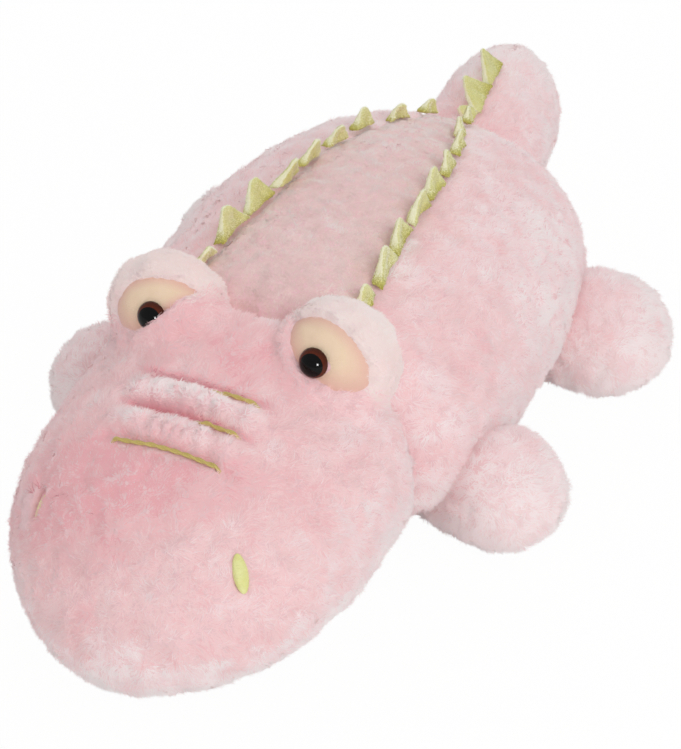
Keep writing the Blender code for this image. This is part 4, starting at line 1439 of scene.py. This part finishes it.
@dataclass
class Nostril:
    """One nostril, an oval of satin stitch whose threads lie across it."""

    side: Side
    satin: Material
    length: float = 0.0175
    width: float = 0.0068
    proud: float = 0.0022
    lift: float = 0.0008
    ridge: float = 0.035
    rim: float = 0.0004
    stitches: int = 40
    turn: float = 0.0
    roll: float = 0.0
    inward: float = 0.0
    dent: float = 0.0
    dent_half: tuple[float, float] = (0.0095, 0.0028)
    depth: float = 0.012
    level_reach: float = 0.014
    tip: float = 1.15

    @property
    def name(self) -> str:
        """left or right."""
        return self.side.label

    def frame(self, ground: Surface) -> Matrix:
        """The frame on the snout under the nostril, +X its long way and +Z out of the snout."""
        where = middle(self.name + "_nostril")
        spot, _ = ground.below(where.x, where.y)
        normal = ground.around(spot, self.level_reach)
        down = Vector((normal.x, normal.y, 0))
        along = (down - normal * down.dot(normal)).normalized()
        turn = Matrix((along, normal.cross(along), normal)).transposed().to_4x4()
        return Matrix.Translation(spot + normal * self.lift) @ turn @ Matrix.Rotation(self.turn, 4, "Z")

    def pad_frame(self, ground: Surface) -> Matrix:
        """The frame of the pad itself, which leans against one wall of its dent."""
        inward = Matrix.Translation((0, self.inward, 0))
        return self.frame(ground) @ inward @ Matrix.Rotation(self.roll, 4, "X")

    def in_dent(self, points: Array, ground: Surface) -> Array:
        """How far points lie in the dent that the pad is drawn into, from 0 to 1."""
        if not self.dent:
            return np.zeros(len(points))
        local = within(self.frame(ground), points)
        half, wide = self.dent_half
        near = np.exp(-((local[:, 0] / half) ** 4) - (local[:, 1] / wide) ** 2)
        return near * (np.abs(local[:, 2]) < self.depth)

    def drawn_in(self, ground: Surface) -> Field:
        """How far the dent draws the skin in."""

        def amount(points: Array, normals: Array) -> Array:
            """Less than 0 in the dent, and 0 elsewhere."""
            return -self.dent * self.in_dent(points, ground)

        return amount

    def covers(self, points: Array, ground: Surface) -> Array:
        """Which points lie over the pad."""
        local = within(self.pad_frame(ground), points)
        along = local[:, 0] / (self.length / 2 + self.rim)
        across = local[:, 1] / (self.width / 2 + self.rim)
        return (along**2 + across**2 < 1) & (np.abs(local[:, 2]) < self.depth)

    def build(self, ground: Surface) -> Piece:
        """Makes the satin pad on the snout.

        Args:
            ground: The head's skin.

        Returns:
            The pad.
        """
        pad = sphere(self.name + "_satin_nostril", 40, 80)
        points, _ = vertex_arrays(pad)
        stitch = 1 + self.ridge * np.cos(np.arccos(np.clip(points[:, 2], -1, 1)) * self.stitches)
        points[:, :2] *= stitch[:, None]
        along = np.sign(points[:, 2]) * np.abs(points[:, 2]) ** self.tip
        across, out = points[:, 1] * self.width, points[:, 0] * self.proud * 2
        shaped = np.stack([along * self.length, across, out], 1) / 2
        pad.data.vertices.foreach_set("co", shaped.ravel())
        pad.data.transform(self.pad_frame(ground))
        with editing(pad):
            bpy.ops.mesh.normals_make_consistent(inside=False)
            bpy.ops.mesh.faces_shade_smooth()
        dress(pad, self.satin)
        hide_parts(self.name + "_nostril")
        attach(pad, "torso")
        return pad


@dataclass
class WrinkleThread:
    """One thread of two plies, laid in its crease across the snout."""

    row: int
    silk: Material
    length: float = 0.054
    ply: float = 0.00070
    turn: float = 0.0120
    lift: float = 0.0017
    buried: float = 0.0030
    dive: float = 0.0036
    end: float = 0.0028
    sway: float = 0.0005
    sway_length: float = 0.009
    sinking: tuple[float, float] = (0.001, 0.010)
    evened: int = 9
    steps: int = 96

    @property
    def node(self) -> str:
        """The frame node that it stands for."""
        return f"wrinkle_thread_{self.row}"

    def path(self, ground: Surface) -> Array:
        """The points of the thread's middle line, its ends drawn into the fur."""
        row = middle(self.node).y
        across = np.linspace(-self.length / 2, self.length / 2, self.steps)
        heights = np.array([ground.below(x, row)[0].z for x in across])
        padded = np.pad(heights, self.evened // 2, "edge")
        heights = np.convolve(padded, np.ones(self.evened) / self.evened, "valid")
        ends = np.clip((np.abs(across) - self.length / 2 + self.end) / self.end, 0, 1)
        sway = self.sway * np.sin(across / self.sway_length + self.row)
        under = self.buried * (1 - above(*self.sinking, across)) * (self.row > 1)
        return np.stack([across, row + sway, heights + self.lift - under - self.dive * ends**2], axis=1)

    def build(self, ground: Surface) -> Piece:
        """Makes the two plies as one mesh.

        Args:
            ground: The head's skin.

        Returns:
            The thread.
        """
        middle_line = self.path(ground)
        data = bpy.data.curves.new(self.node + "_plies", "CURVE")
        data.dimensions = "3D"
        data.bevel_depth = self.ply
        data.bevel_resolution = 3
        data.use_fill_caps = True
        angle = np.linspace(0, 2 * pi * self.length / self.turn, self.steps)
        for start in (0, pi):
            ring = np.stack([0 * angle, np.cos(angle + start), np.sin(angle + start)], 1) * self.ply * 0.6
            spline = data.splines.new("POLY")
            spline.points.add(self.steps - 1)
            line = np.column_stack([middle_line + ring, np.ones(self.steps)])
            spline.points.foreach_set("co", line.ravel())
            spline.use_smooth = True
        thread = added(self.node + "_plies", data)
        alone(thread)
        bpy.ops.object.convert(target="MESH")
        dress(thread, self.silk)
        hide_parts(self.node)
        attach(thread, "torso")
        return thread


@dataclass
class Spike:
    """One spike, a triangle of velour folded double, its foot in a seam."""

    node: str
    body: str
    velour: Material
    seed: int
    flare: float = 0.55
    spread: float = 0.12
    blunt: float = 0.55
    hollow: float = 0.0013
    curl: float = 0.0022
    swing: float = 0.0018
    taller: float = 0.0012
    fold_shift: float = 0.25
    fold_half: float = 0.30
    foot: float = 0.48
    # Painted shade over the velour's own olive: how much darker the nap is at the foot.
    olive: float = 0.65
    # Painted highlight: how much paler the nap is on the rim.
    pale: float = 0.6
    naps: tuple[tuple[float, float], ...] = ((0.004, 0.0008), (0.0014, 0.0004))
    voxel: float = 0.00055
    ease: int = 22
    centre: Array | None = field(init=False, default=None)
    ways: Array | None = field(init=False, default=None)
    low: float = field(init=False, default=0.0)
    high: float = field(init=False, default=0.0)

    def build(self) -> Piece:
        """Makes the spike from the frame's own, rounder, fuller at its foot and hollowed on its faces."""
        lean, cup, swing, fold = np.random.default_rng(self.seed).uniform(-1, 1, 4)
        spike = copied((self.node,), self.node + "_velour")
        points, _ = vertex_arrays(spike)
        self.centre = (points.max(0) + points.min(0)) / 2
        self.ways = np.linalg.eigh(np.cov((points - points.mean(0)).T))[1].T.copy()
        self.ways[1] *= 1 if self.ways[1, 2] > 0 else -1
        finish_with(spike, "REMESH", mode="VOXEL", voxel_size=self.voxel, use_smooth_shade=True)
        finish_with(spike, "SMOOTH", factor=0.5, iterations=self.ease)
        points, normals = vertex_arrays(spike)
        local = (points - self.centre) @ self.ways.T
        self.low, self.high = local[:, 1].min(), local[:, 1].max()
        rise = (local[:, 1] - self.low) / (self.high - self.low)
        across = local[:, 2] / np.abs(local[:, 2]).max()
        middle_part = np.exp(-(((across - self.fold_shift * fold) / self.fold_half) ** 2))
        face = middle_part * np.clip(rise * 2.5, 0, 1) * np.clip(1.4 - rise * 1.5, 0, 1)
        # Painted highlight on the rim.
        rim = self.at_rim(points, normals)
        # Painted shade, over the velour's own olive, at the foot.
        foot = above(0.0, 0.45, self.foot - rise)
        local[:, 0] *= 1 + self.flare * (1 - rise) ** 2
        local[:, 0] -= np.sign(local[:, 0]) * self.hollow * face
        local[:, 0] += self.curl * (lean * rise**2 + cup * across**2)
        local[:, 1] += self.taller * rise
        local[:, 2] *= 1 + self.spread * (1 - rise) + self.blunt * rise**3
        local[:, 2] += self.swing * swing * rise
        spike.data.vertices.foreach_set("co", (local @ self.ways + self.centre).ravel())
        # Painted highlight on the rim; painted shade, over the velour's own olive, at the foot and in the
        # face's hollow.
        note(spike, "rim", rim)
        note(spike, "fold", np.maximum(foot, 0.5 * face))
        for size, strength in self.naps:
            finish_with(spike, "DISPLACE", texture=clouds("velour", size), strength=strength, mid_level=0.5)
        smooth(spike)
        dress(spike, self.velour)
        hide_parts(self.node)
        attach(spike, self.body)
        return spike

    def risen(self, points: Array) -> Array:
        """How high up the spike points lie: 0 at its foot, 1 at its tip."""
        return ((points - self.centre) @ self.ways[1] - self.low) / (self.high - self.low)

    def at_rim(self, points: Array, normals: Array) -> Array:
        """How far points belong to the painted highlight along the rim above the foot, from 0 to 1."""
        edge = above(0.35, 0.65, 1 - np.abs(normals @ self.ways[0]))
        return edge * above(0.25, 0.5, self.risen(points))

    def tone(self, points: Array, normals: Array) -> Array:
        """Nap with painted shade over its own olive at the spike's foot, and a painted highlight along its
        rim.
        """
        foot = above(0.0, 0.35, 0.36 - self.risen(points))
        return self.pale * self.at_rim(points, normals) - self.olive * foot


@dataclass
class SpikeRow:
    """The spikes of one body, and the short nap that stands on all of them."""

    name: str
    body: str
    nodes: list[str]
    velour: Material
    shades: list[Material]
    seed: int

    def build(self) -> None:
        """Makes the spikes, then their nap as one piece."""
        rng = np.random.default_rng(self.seed)
        grown = []
        for number, node in enumerate(self.nodes):
            spike = Spike(node, self.body, self.velour, self.seed + number)
            ground = Surface.of(spike.build())
            every = np.ones(len(ground.triangles), bool)
            places, normals = ground.scatter(NAP.per_mm2 * MM2_IN_M2, rng, every)
            grown.append((places, normals, spike.tone(places, normals)))
        places, normals, paler = (np.concatenate(parts) for parts in zip(*grown))
        lie = np.tile(np.array((0.0, 0.3, -0.6)), (len(places), 1))
        whole = full(places, normals)
        nap = NAP.plant(self.name, places, normals, lie, whole, paler, self.seed, nowhere, self.shades)
        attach(nap, self.body)
        log.info("%s: %d spikes, %d strands", self.name, len(self.nodes), len(nap.data.polygons) // 2)


@dataclass(frozen=True)
class Lamp:
    """One soft lamp that looks at the toy. A mirrored one only shows in glossy pieces."""

    name: str
    place: tuple[float, float, float]
    size: float
    power: float
    mirrored: bool = False

    def build(self, target: Vector) -> None:
        """Makes the lamp."""
        data = bpy.data.lights.new(self.name, "AREA")
        data.size = self.size
        data.energy = self.power
        lamp = added(self.name, data)
        lamp.location = self.place
        lamp.visible_glossy = self.mirrored
        lamp.visible_diffuse = not self.mirrored
        lamp.rotation_euler = (target - Vector(self.place)).to_track_quat("-Z", "Y").to_euler()


@dataclass
class Studio:
    """The floor, the lights and the camera."""

    lamps: tuple[Lamp, ...] = (
        Lamp("key", (1.5, -1.1, 1.5), 1.4, 20),
        Lamp("fill", (-1.6, -0.9, 1.3), 1.8, 3),
        Lamp("rim", (-0.6, 1.8, 1.4), 1.4, 11),
        Lamp("catch", (1.0, -1.95, 0.72), 0.40, 26, mirrored=True),
    )
    camera_place: tuple[float, float, float] = (0.39235, -0.84086, 0.72683)
    camera_target: tuple[float, float, float] = (0.02017, -0.05525, 0.05914)
    lamp_target: tuple[float, float, float] = (0, 0, 0.05)
    lens: float = 108.9
    floor_size: float = 8.0
    floor_drop: float = 0.0006
    whitened: float = 0.975
    daylight: float = 0.55

    def build(self) -> None:
        """Makes all of it."""
        self.floor()
        self.world()
        for lamp in self.lamps:
            lamp.build(Vector(self.lamp_target))
        self.camera()

    def floor(self) -> None:
        """A plain pale floor, whitened for the camera, that keeps the shadow."""
        bpy.ops.object.select_all(action="DESELECT")
        bpy.ops.mesh.primitive_plane_add(size=self.floor_size, location=(0, 0, -self.floor_drop))
        floor = bpy.context.object
        floor.name = "floor"
        graph = Graph("floor")
        graph.dress(base_color=(0.97, 0.97, 0.97), roughness=0.9, specular=0.1)
        glow = graph.node("ShaderNodeEmission", {}, {"Color": (1, 1, 1, 1), "Strength": 1.0})
        path = graph.node("ShaderNodeLightPath", {}, {})
        seen = Signal(graph, path.outputs["Is Camera Ray"])
        mix = graph.node("ShaderNodeMixShader", {}, {0: seen * self.whitened})
        graph.tree.links.new(graph.shader.outputs[0], mix.inputs[1])
        graph.tree.links.new(glow.outputs[0], mix.inputs[2])
        graph.tree.links.new(mix.outputs[0], graph.tree.nodes["Material Output"].inputs["Surface"])
        dress(floor, graph.material)

    def world(self) -> None:
        """An even pale surrounding, white for the camera."""
        world = bpy.data.worlds.new("studio")
        bpy.context.scene.world = world
        world.use_nodes = True
        tree = world.node_tree
        lit = tree.nodes["Background"]
        lit.inputs["Color"].default_value = (1, 1, 1, 1)
        lit.inputs["Strength"].default_value = self.daylight
        white = tree.nodes.new("ShaderNodeBackground")
        white.inputs["Color"].default_value = (1, 1, 1, 1)
        white.inputs["Strength"].default_value = 1.0
        path = tree.nodes.new("ShaderNodeLightPath")
        mix = tree.nodes.new("ShaderNodeMixShader")
        tree.links.new(path.outputs["Is Camera Ray"], mix.inputs[0])
        tree.links.new(lit.outputs[0], mix.inputs[1])
        tree.links.new(white.outputs[0], mix.inputs[2])
        tree.links.new(mix.outputs[0], tree.nodes["World Output"].inputs["Surface"])

    def camera(self) -> None:
        """The camera, at the photograph's view."""
        data = bpy.data.cameras.new("camera")
        data.lens = self.lens
        data.clip_start = 0.01
        camera = added("camera", data)
        camera.location = self.camera_place
        look = Vector(self.camera_target) - Vector(self.camera_place)
        camera.rotation_euler = look.to_track_quat("-Z", "Y").to_euler()
        bpy.context.scene.camera = camera


LEGS = ("front_left_leg", "front_right_leg", "rear_left_leg", "rear_right_leg")
LONG = Pile()
BACK = Pile(0.0036, 0.00042, 2.9, tuft=0.0032, lean=0.3, pull=0.6, curl=0.5, relief=0.24)
BROW = Pile(0.0056, 0.00044, 3.2, rise=0.14, ruffle=0.02, steepest=0.24, pull=0.3, curl=0.3, relief=0.05)
NAP = Pile(0.0011, 0.00030, 3.6, rise=0.3, lean=0.5, tuft=0.002, pull=0.3, relief=0.1, sink=0.0002)


def off_floor(points: Array, normals: Array) -> Array:
    """All but what lies flat on the floor."""
    return above(-0.92, -0.75, normals[:, 2])


@dataclass
class Crocodile:
    """The whole toy, bag by bag and piece by piece."""

    joints: list[dict]
    pink: list[Material] = field(default_factory=PINK_PILE.materials)
    back: list[Material] = field(default_factory=BACK_PILE.materials)
    pale: list[Material] = field(default_factory=BROW_PILE.materials)
    cloth: Material = field(default_factory=PINK_CLOTH.material)
    mounds: tuple[Mound, Mound] = (Mound(Side.LEFT), Mound(Side.RIGHT, lid=1.5, tuck=2.0))
    thread_reach: float = 0.0275
    thread_half: float = 0.0013
    rear_threads: tuple[float, float] = (0.0175, 0.0105)
    rear_gaps: tuple[float, float] = (-0.012, 0.014)
    gap_behind: float = 0.0018
    gap_half: float = 0.0008
    in_hole: float = 0.4
    snout_top: float = 0.06
    flank_middle: float = 0.025
    seam_half: float = 0.0005
    seam_reach: float = 0.004
    seam_cut: float = 0.3
    crease_cut: float = 0.6
    belly_share: float = 0.5
    leg_crease: tuple[float, float] = (0.006, 0.022)
    tail_crease: tuple[float, float] = (0.128, 0.172)
    overhang: float = 0.026
    overhang_ends: tuple[float, float] = (1.1, 1.7)
    nostrils: tuple[Nostril, ...] = field(init=False, default=())
    torso: Torso | None = field(init=False, default=None)
    head: Head | None = field(init=False, default=None)
    tail: Bag | None = field(init=False, default=None)
    legs: list[Bag] = field(init=False, default_factory=list)

    def __post_init__(self) -> None:
        """Makes what more than one step needs."""
        satin = LIME_SATIN.material()
        angles = {"turn": radians(38), "roll": radians(78)}
        sunk = Nostril(Side.RIGHT, satin, inward=0.0026, lift=-0.0014, dent=0.0046, **angles)
        self.nostrils = (Nostril(Side.LEFT, satin), sunk)

    def sew(self) -> None:
        """Makes every bag's skin."""
        panels = ("back_panel", "left_flank_panel", "right_flank_panel", "belly_panel", "body_stuffing")
        self.torso = Torso("torso", "torso", "body_stuffing", panels, cloth=self.cloth, voxel=0.0038)
        covers = ("snout_top_panel", "chin_panel", "head_stuffing", "left_eyelid", "right_eyelid")
        face = {"mounds": self.mounds, "nostrils": self.nostrils}
        self.head = Head("head", "torso", "head_stuffing", covers, cloth=self.cloth, **face)
        sides = ("tail_left_panel", "tail_right_panel", "tail_stuffing")
        crease = tuple(Vector((0, place, 0.05)) for place in self.tail_crease)
        self.tail = Bag("tail", "tail", "tail_stuffing", sides, cloth=self.cloth, bend=crease)
        self.legs = [self.leg(name) for name in LEGS]
        for bag in (self.torso, self.head, self.tail, *self.legs):
            bag.sew()

    def leg(self, name: str) -> Bag:
        """One leg's bag, with the points either side of its crease with the torso kept as its bend."""
        joint = next(joint for joint in self.joints if joint["child"] == name)
        hinge, axis = Vector(joint["pos_m"]), Vector(joint["axis"])
        outward = axis.cross(Vector((0, 0, 1))).normalized()
        outward *= 1 if outward.dot(hinge) > 0 else -1
        inner, outer = self.leg_crease
        bend = (hinge - outward * inner, hinge + outward * outer)
        nodes = (name + "_skin", name + "_stuffing")
        return Bag(name, name, name + "_stuffing", nodes, cloth=self.cloth, lump=0.0016, bend=bend)

    def on_back(self, points: Array, normals: Array) -> Array:
        """Whether each point lies on the back panel."""
        inside = np.abs(points[:, 0]) < self.torso.seam(points[:, 1]) - self.seam_half
        return (inside & (normals[:, 2] > TOP_SIDE)).astype(float)

    def by_seam(self, points: Array, normals: Array) -> Array:
        """Pile that gets shorter beside the two seams."""
        away = np.abs(np.abs(points[:, 0]) - self.torso.seam(points[:, 1]))
        grown = 1 - self.seam_cut + self.seam_cut * above(0.0, self.seam_reach, away)
        return np.where(normals[:, 2] > TOP_SIDE, grown, 1)

    def back_tone(self, points: Array, normals: Array) -> Array:
        """Painted light: pile of the back that is painted paler towards the tail."""
        return PAINTED_LIGHT_RUMP.of(points[:, 1])

    def flank(self, side: Side, end: End) -> Field:
        """Where the pile of one flank's front or rear half grows."""

        def where(points: Array, normals: Array) -> Array:
            """1 on that half, and 0 elsewhere."""
            own = (points[:, 0] * side > 0) & (self.on_back(points, normals) == 0)
            own &= (points[:, 1] - self.flank_middle) * end > 0
            return (own & (normals[:, 2] > UNDERSIDE)).astype(float)

        return where

    def faded(self, points: Array, normals: Array) -> Array:
        """Pile painted paler, as painted light, where the cloth is painted paler."""
        return PILE_PAINTED_LIGHT * worn(points)

    def belly(self, points: Array, normals: Array) -> Array:
        """Where the belly's pile grows, thinner than the rest."""
        return self.belly_share * (normals[:, 2] <= UNDERSIDE) * off_floor(points, normals)

    def on_face(self, points: Array) -> Array:
        """Which points lie where an eyeball, a nostril or the front thread is."""
        eyes = self.mounds[0].kept_clear(points) | self.mounds[1].kept_clear(points)
        holes = np.zeros(len(points), bool)
        for nostril in self.nostrils:
            holes |= nostril.covers(points, self.head.surface)
            # A bare dent, where the cloth's painted shade shows.
            holes |= nostril.in_dent(points, self.head.surface) > self.in_hole
        rows = self.head.rows()
        across, along = points[:, 0], points[:, 1]
        line = (np.abs(along - rows[0]) < self.thread_half) & (np.abs(across) < self.thread_reach)
        shown, shown_half = self.rear_threads
        bare, bare_half = self.rear_gaps
        for row in rows[1:]:
            line |= (np.abs(along - row) < self.thread_half) & (np.abs(across - shown) < shown_half)
            # Bare gaps behind the rear threads, where the painted shade of the crease's cloth shows.
            gap = np.abs(along - row - self.gap_behind) < self.gap_half
            line |= gap & (np.abs(across - bare) < bare_half)
        return eyes | holes | (line & (points[:, 2] > self.snout_top))

    def snout_tone(self, points: Array, normals: Array) -> Array:
        """Paler tufts on the folds, painted shade in their pleats, in the creases, in the nostril's dent
        and on darker spots, and painted light low down.
        """
        folds = self.head.fold(points)
        creases = self.head.in_crease(points, Crease.DEEP_PINK)
        # Painted shade: darker pink on the top of the snout, between the eyes and on the animal's right
        # side.
        deep = PAINTED_SHADE_SNOUT.of(points) + PAINTED_SHADE_BETWEEN_EYES.of(points) + PAINTED_SHADE_RIGHT_SIDE.of(-points[:, 0])
        painted_deep_shade = np.minimum(deep, DEEPEST_PAINTED_SHADE) * above(0.020, 0.060, points[:, 2])
        # Paler tufts on the folds, with painted shade in the pleats between them.
        ridges = folds * (0.50 + 0.16 * self.head.pleats(points))
        dents = self.nostrils[-1].in_dent(points, self.head.surface)
        # Painted shade in the creases and the nostril's dent, and painted light low down.
        return ridges - 1.3 * (creases + dents) - painted_deep_shade + self.faded(points, normals)

    def by_crease(self, points: Array, normals: Array) -> Array:
        """Pile that gets shorter in the creases of the snout."""
        return 1 - self.crease_cut * self.head.in_crease(points, Crease.SHORT_PILE)

    def cheek(self, mound: Mound) -> Field:
        """Where the pile of a mound's own cheek grows."""

        def where(points: Array, normals: Array) -> Array:
            """From 0 on the brow to 1 off it."""
            own = (points[:, 0] * mound.side > 0) & (points[:, 2] > CHIN_LEVEL)
            return own * (1 - mound.brow(points))

        return where

    def on_brow(self, mound: Mound) -> Field:
        """Where the pile of a mound's brow grows."""

        def where(points: Array, normals: Array) -> Array:
            """From 0 off the brow to 1 on it."""
            return mound.brow(points)

        return where

    def brow_nap(self, mound: Mound) -> Field:
        """Pile that hangs a little over the patch beside it, and lies back and down behind it."""

        def nap(points: Array, normals: Array) -> Array:
            """Towards the patch near it, and backwards away from it."""
            way = np.array(mound.patch_way) * np.array((mound.side, 1, 1))
            target = np.array(mound.frame().translation) + way * self.overhang
            share = above(*self.overhang_ends, mound.patch(points))[:, None]
            return unit(target - points) * (1 - share) + backwards(points, normals) * share

        return nap

    def chin(self, points: Array, normals: Array) -> Array:
        """Where the chin's pile grows."""
        return (points[:, 2] <= CHIN_LEVEL) * off_floor(points, normals)

    def plant(self) -> None:
        """Grows the pile of every bag."""
        pink, slot = self.pink, "pink_plush"
        seamed = {"lengths": self.by_seam}
        back = {"tone": self.back_tone, **seamed}
        torso = [
            Patch("back_pile", BACK, self.back, "back_plush", Seed.BACK, self.on_back, **back),
            Patch("belly_pile", LONG, pink, slot, Seed.BELLY, self.belly),
        ]
        for seed, side in enumerate(Side, Seed.FLANKS):
            for end in End:
                name = f"{side.label}_{end.label}_flank_pile"
                where = self.flank(side, end)
                torso.append(Patch(name, LONG, pink, slot, seed, where, tone=self.faded, **seamed))
        self.torso.plant(torso, [self.head, self.tail, *self.legs])
        face = {"clear": self.on_face, "tone": self.snout_tone, "lengths": self.by_crease}
        head = [
            Patch(mound.name + "_cheek_pile", LONG, pink, slot, seed, self.cheek(mound), **face)
            for seed, mound in enumerate(self.mounds, Seed.CHEEKS)
        ]
        head.append(Patch("chin_pile", LONG, pink, slot, Seed.CHIN, self.chin, tone=self.snout_tone))
        for seed, mound in enumerate(self.mounds, Seed.BROWS):
            over = {"nap": self.brow_nap(mound), "clear": mound.kept_clear}
            name = mound.name + "_brow_pile"
            head.append(Patch(name, BROW, self.pale, slot, seed, self.on_brow(mound), **over))
        self.head.plant(head, [self.torso])
        for seed, bag in enumerate((self.tail, *self.legs), Seed.LIMBS):
            pile = Patch(bag.name + "_pile", LONG, pink, slot, seed, off_floor, tone=self.faded)
            bag.plant([pile], [self.torso])

    def trim(self) -> None:
        """Makes the eyes, nostrils, threads and spikes."""
        velour, plastic = CREAM_VELOUR.material(), EYE_PLASTIC.material()
        washer = WASHER_PLASTIC.material()
        for mound in self.mounds:
            report(Eyeball(mound, velour).build())
            report(Eye(mound, plastic).build())
            dress(bpy.data.objects[mound.name + "_eye_washer"], washer)
        for nostril in self.nostrils:
            report(nostril.build(self.head.surface))
        silk = OLIVE_THREAD.material()
        for row in THREAD_ROWS:
            report(WrinkleThread(row, silk).build(self.head.surface))
        lime = LIME_VELOUR.material()
        nap = LIME_NAP.materials()
        numbers = range(1, SPIKES_IN_A_ROW + 1)
        names = [f"spike_{side.label}_{number:02d}" for side in Side for number in numbers]
        SpikeRow("torso_spike_nap", "torso", names, lime, nap, Seed.SPIKES).build()
        names = [f"tail_spike_{number}" for number in range(1, SPIKES_ON_THE_TAIL + 1)]
        SpikeRow("tail_spike_nap", "tail", names, lime, nap, Seed.TAIL_SPIKES).build()


def main() -> None:
    """Builds the crocodile's looks piece by piece."""
    logging.basicConfig(level=logging.INFO, format="%(message)s")
    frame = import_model()
    bpy.context.scene.view_settings.view_transform = "Standard"
    Studio().build()
    crocodile = Crocodile(frame["joints"])
    crocodile.sew()
    crocodile.plant()
    crocodile.trim()


if __name__ == "__main__":
    main()
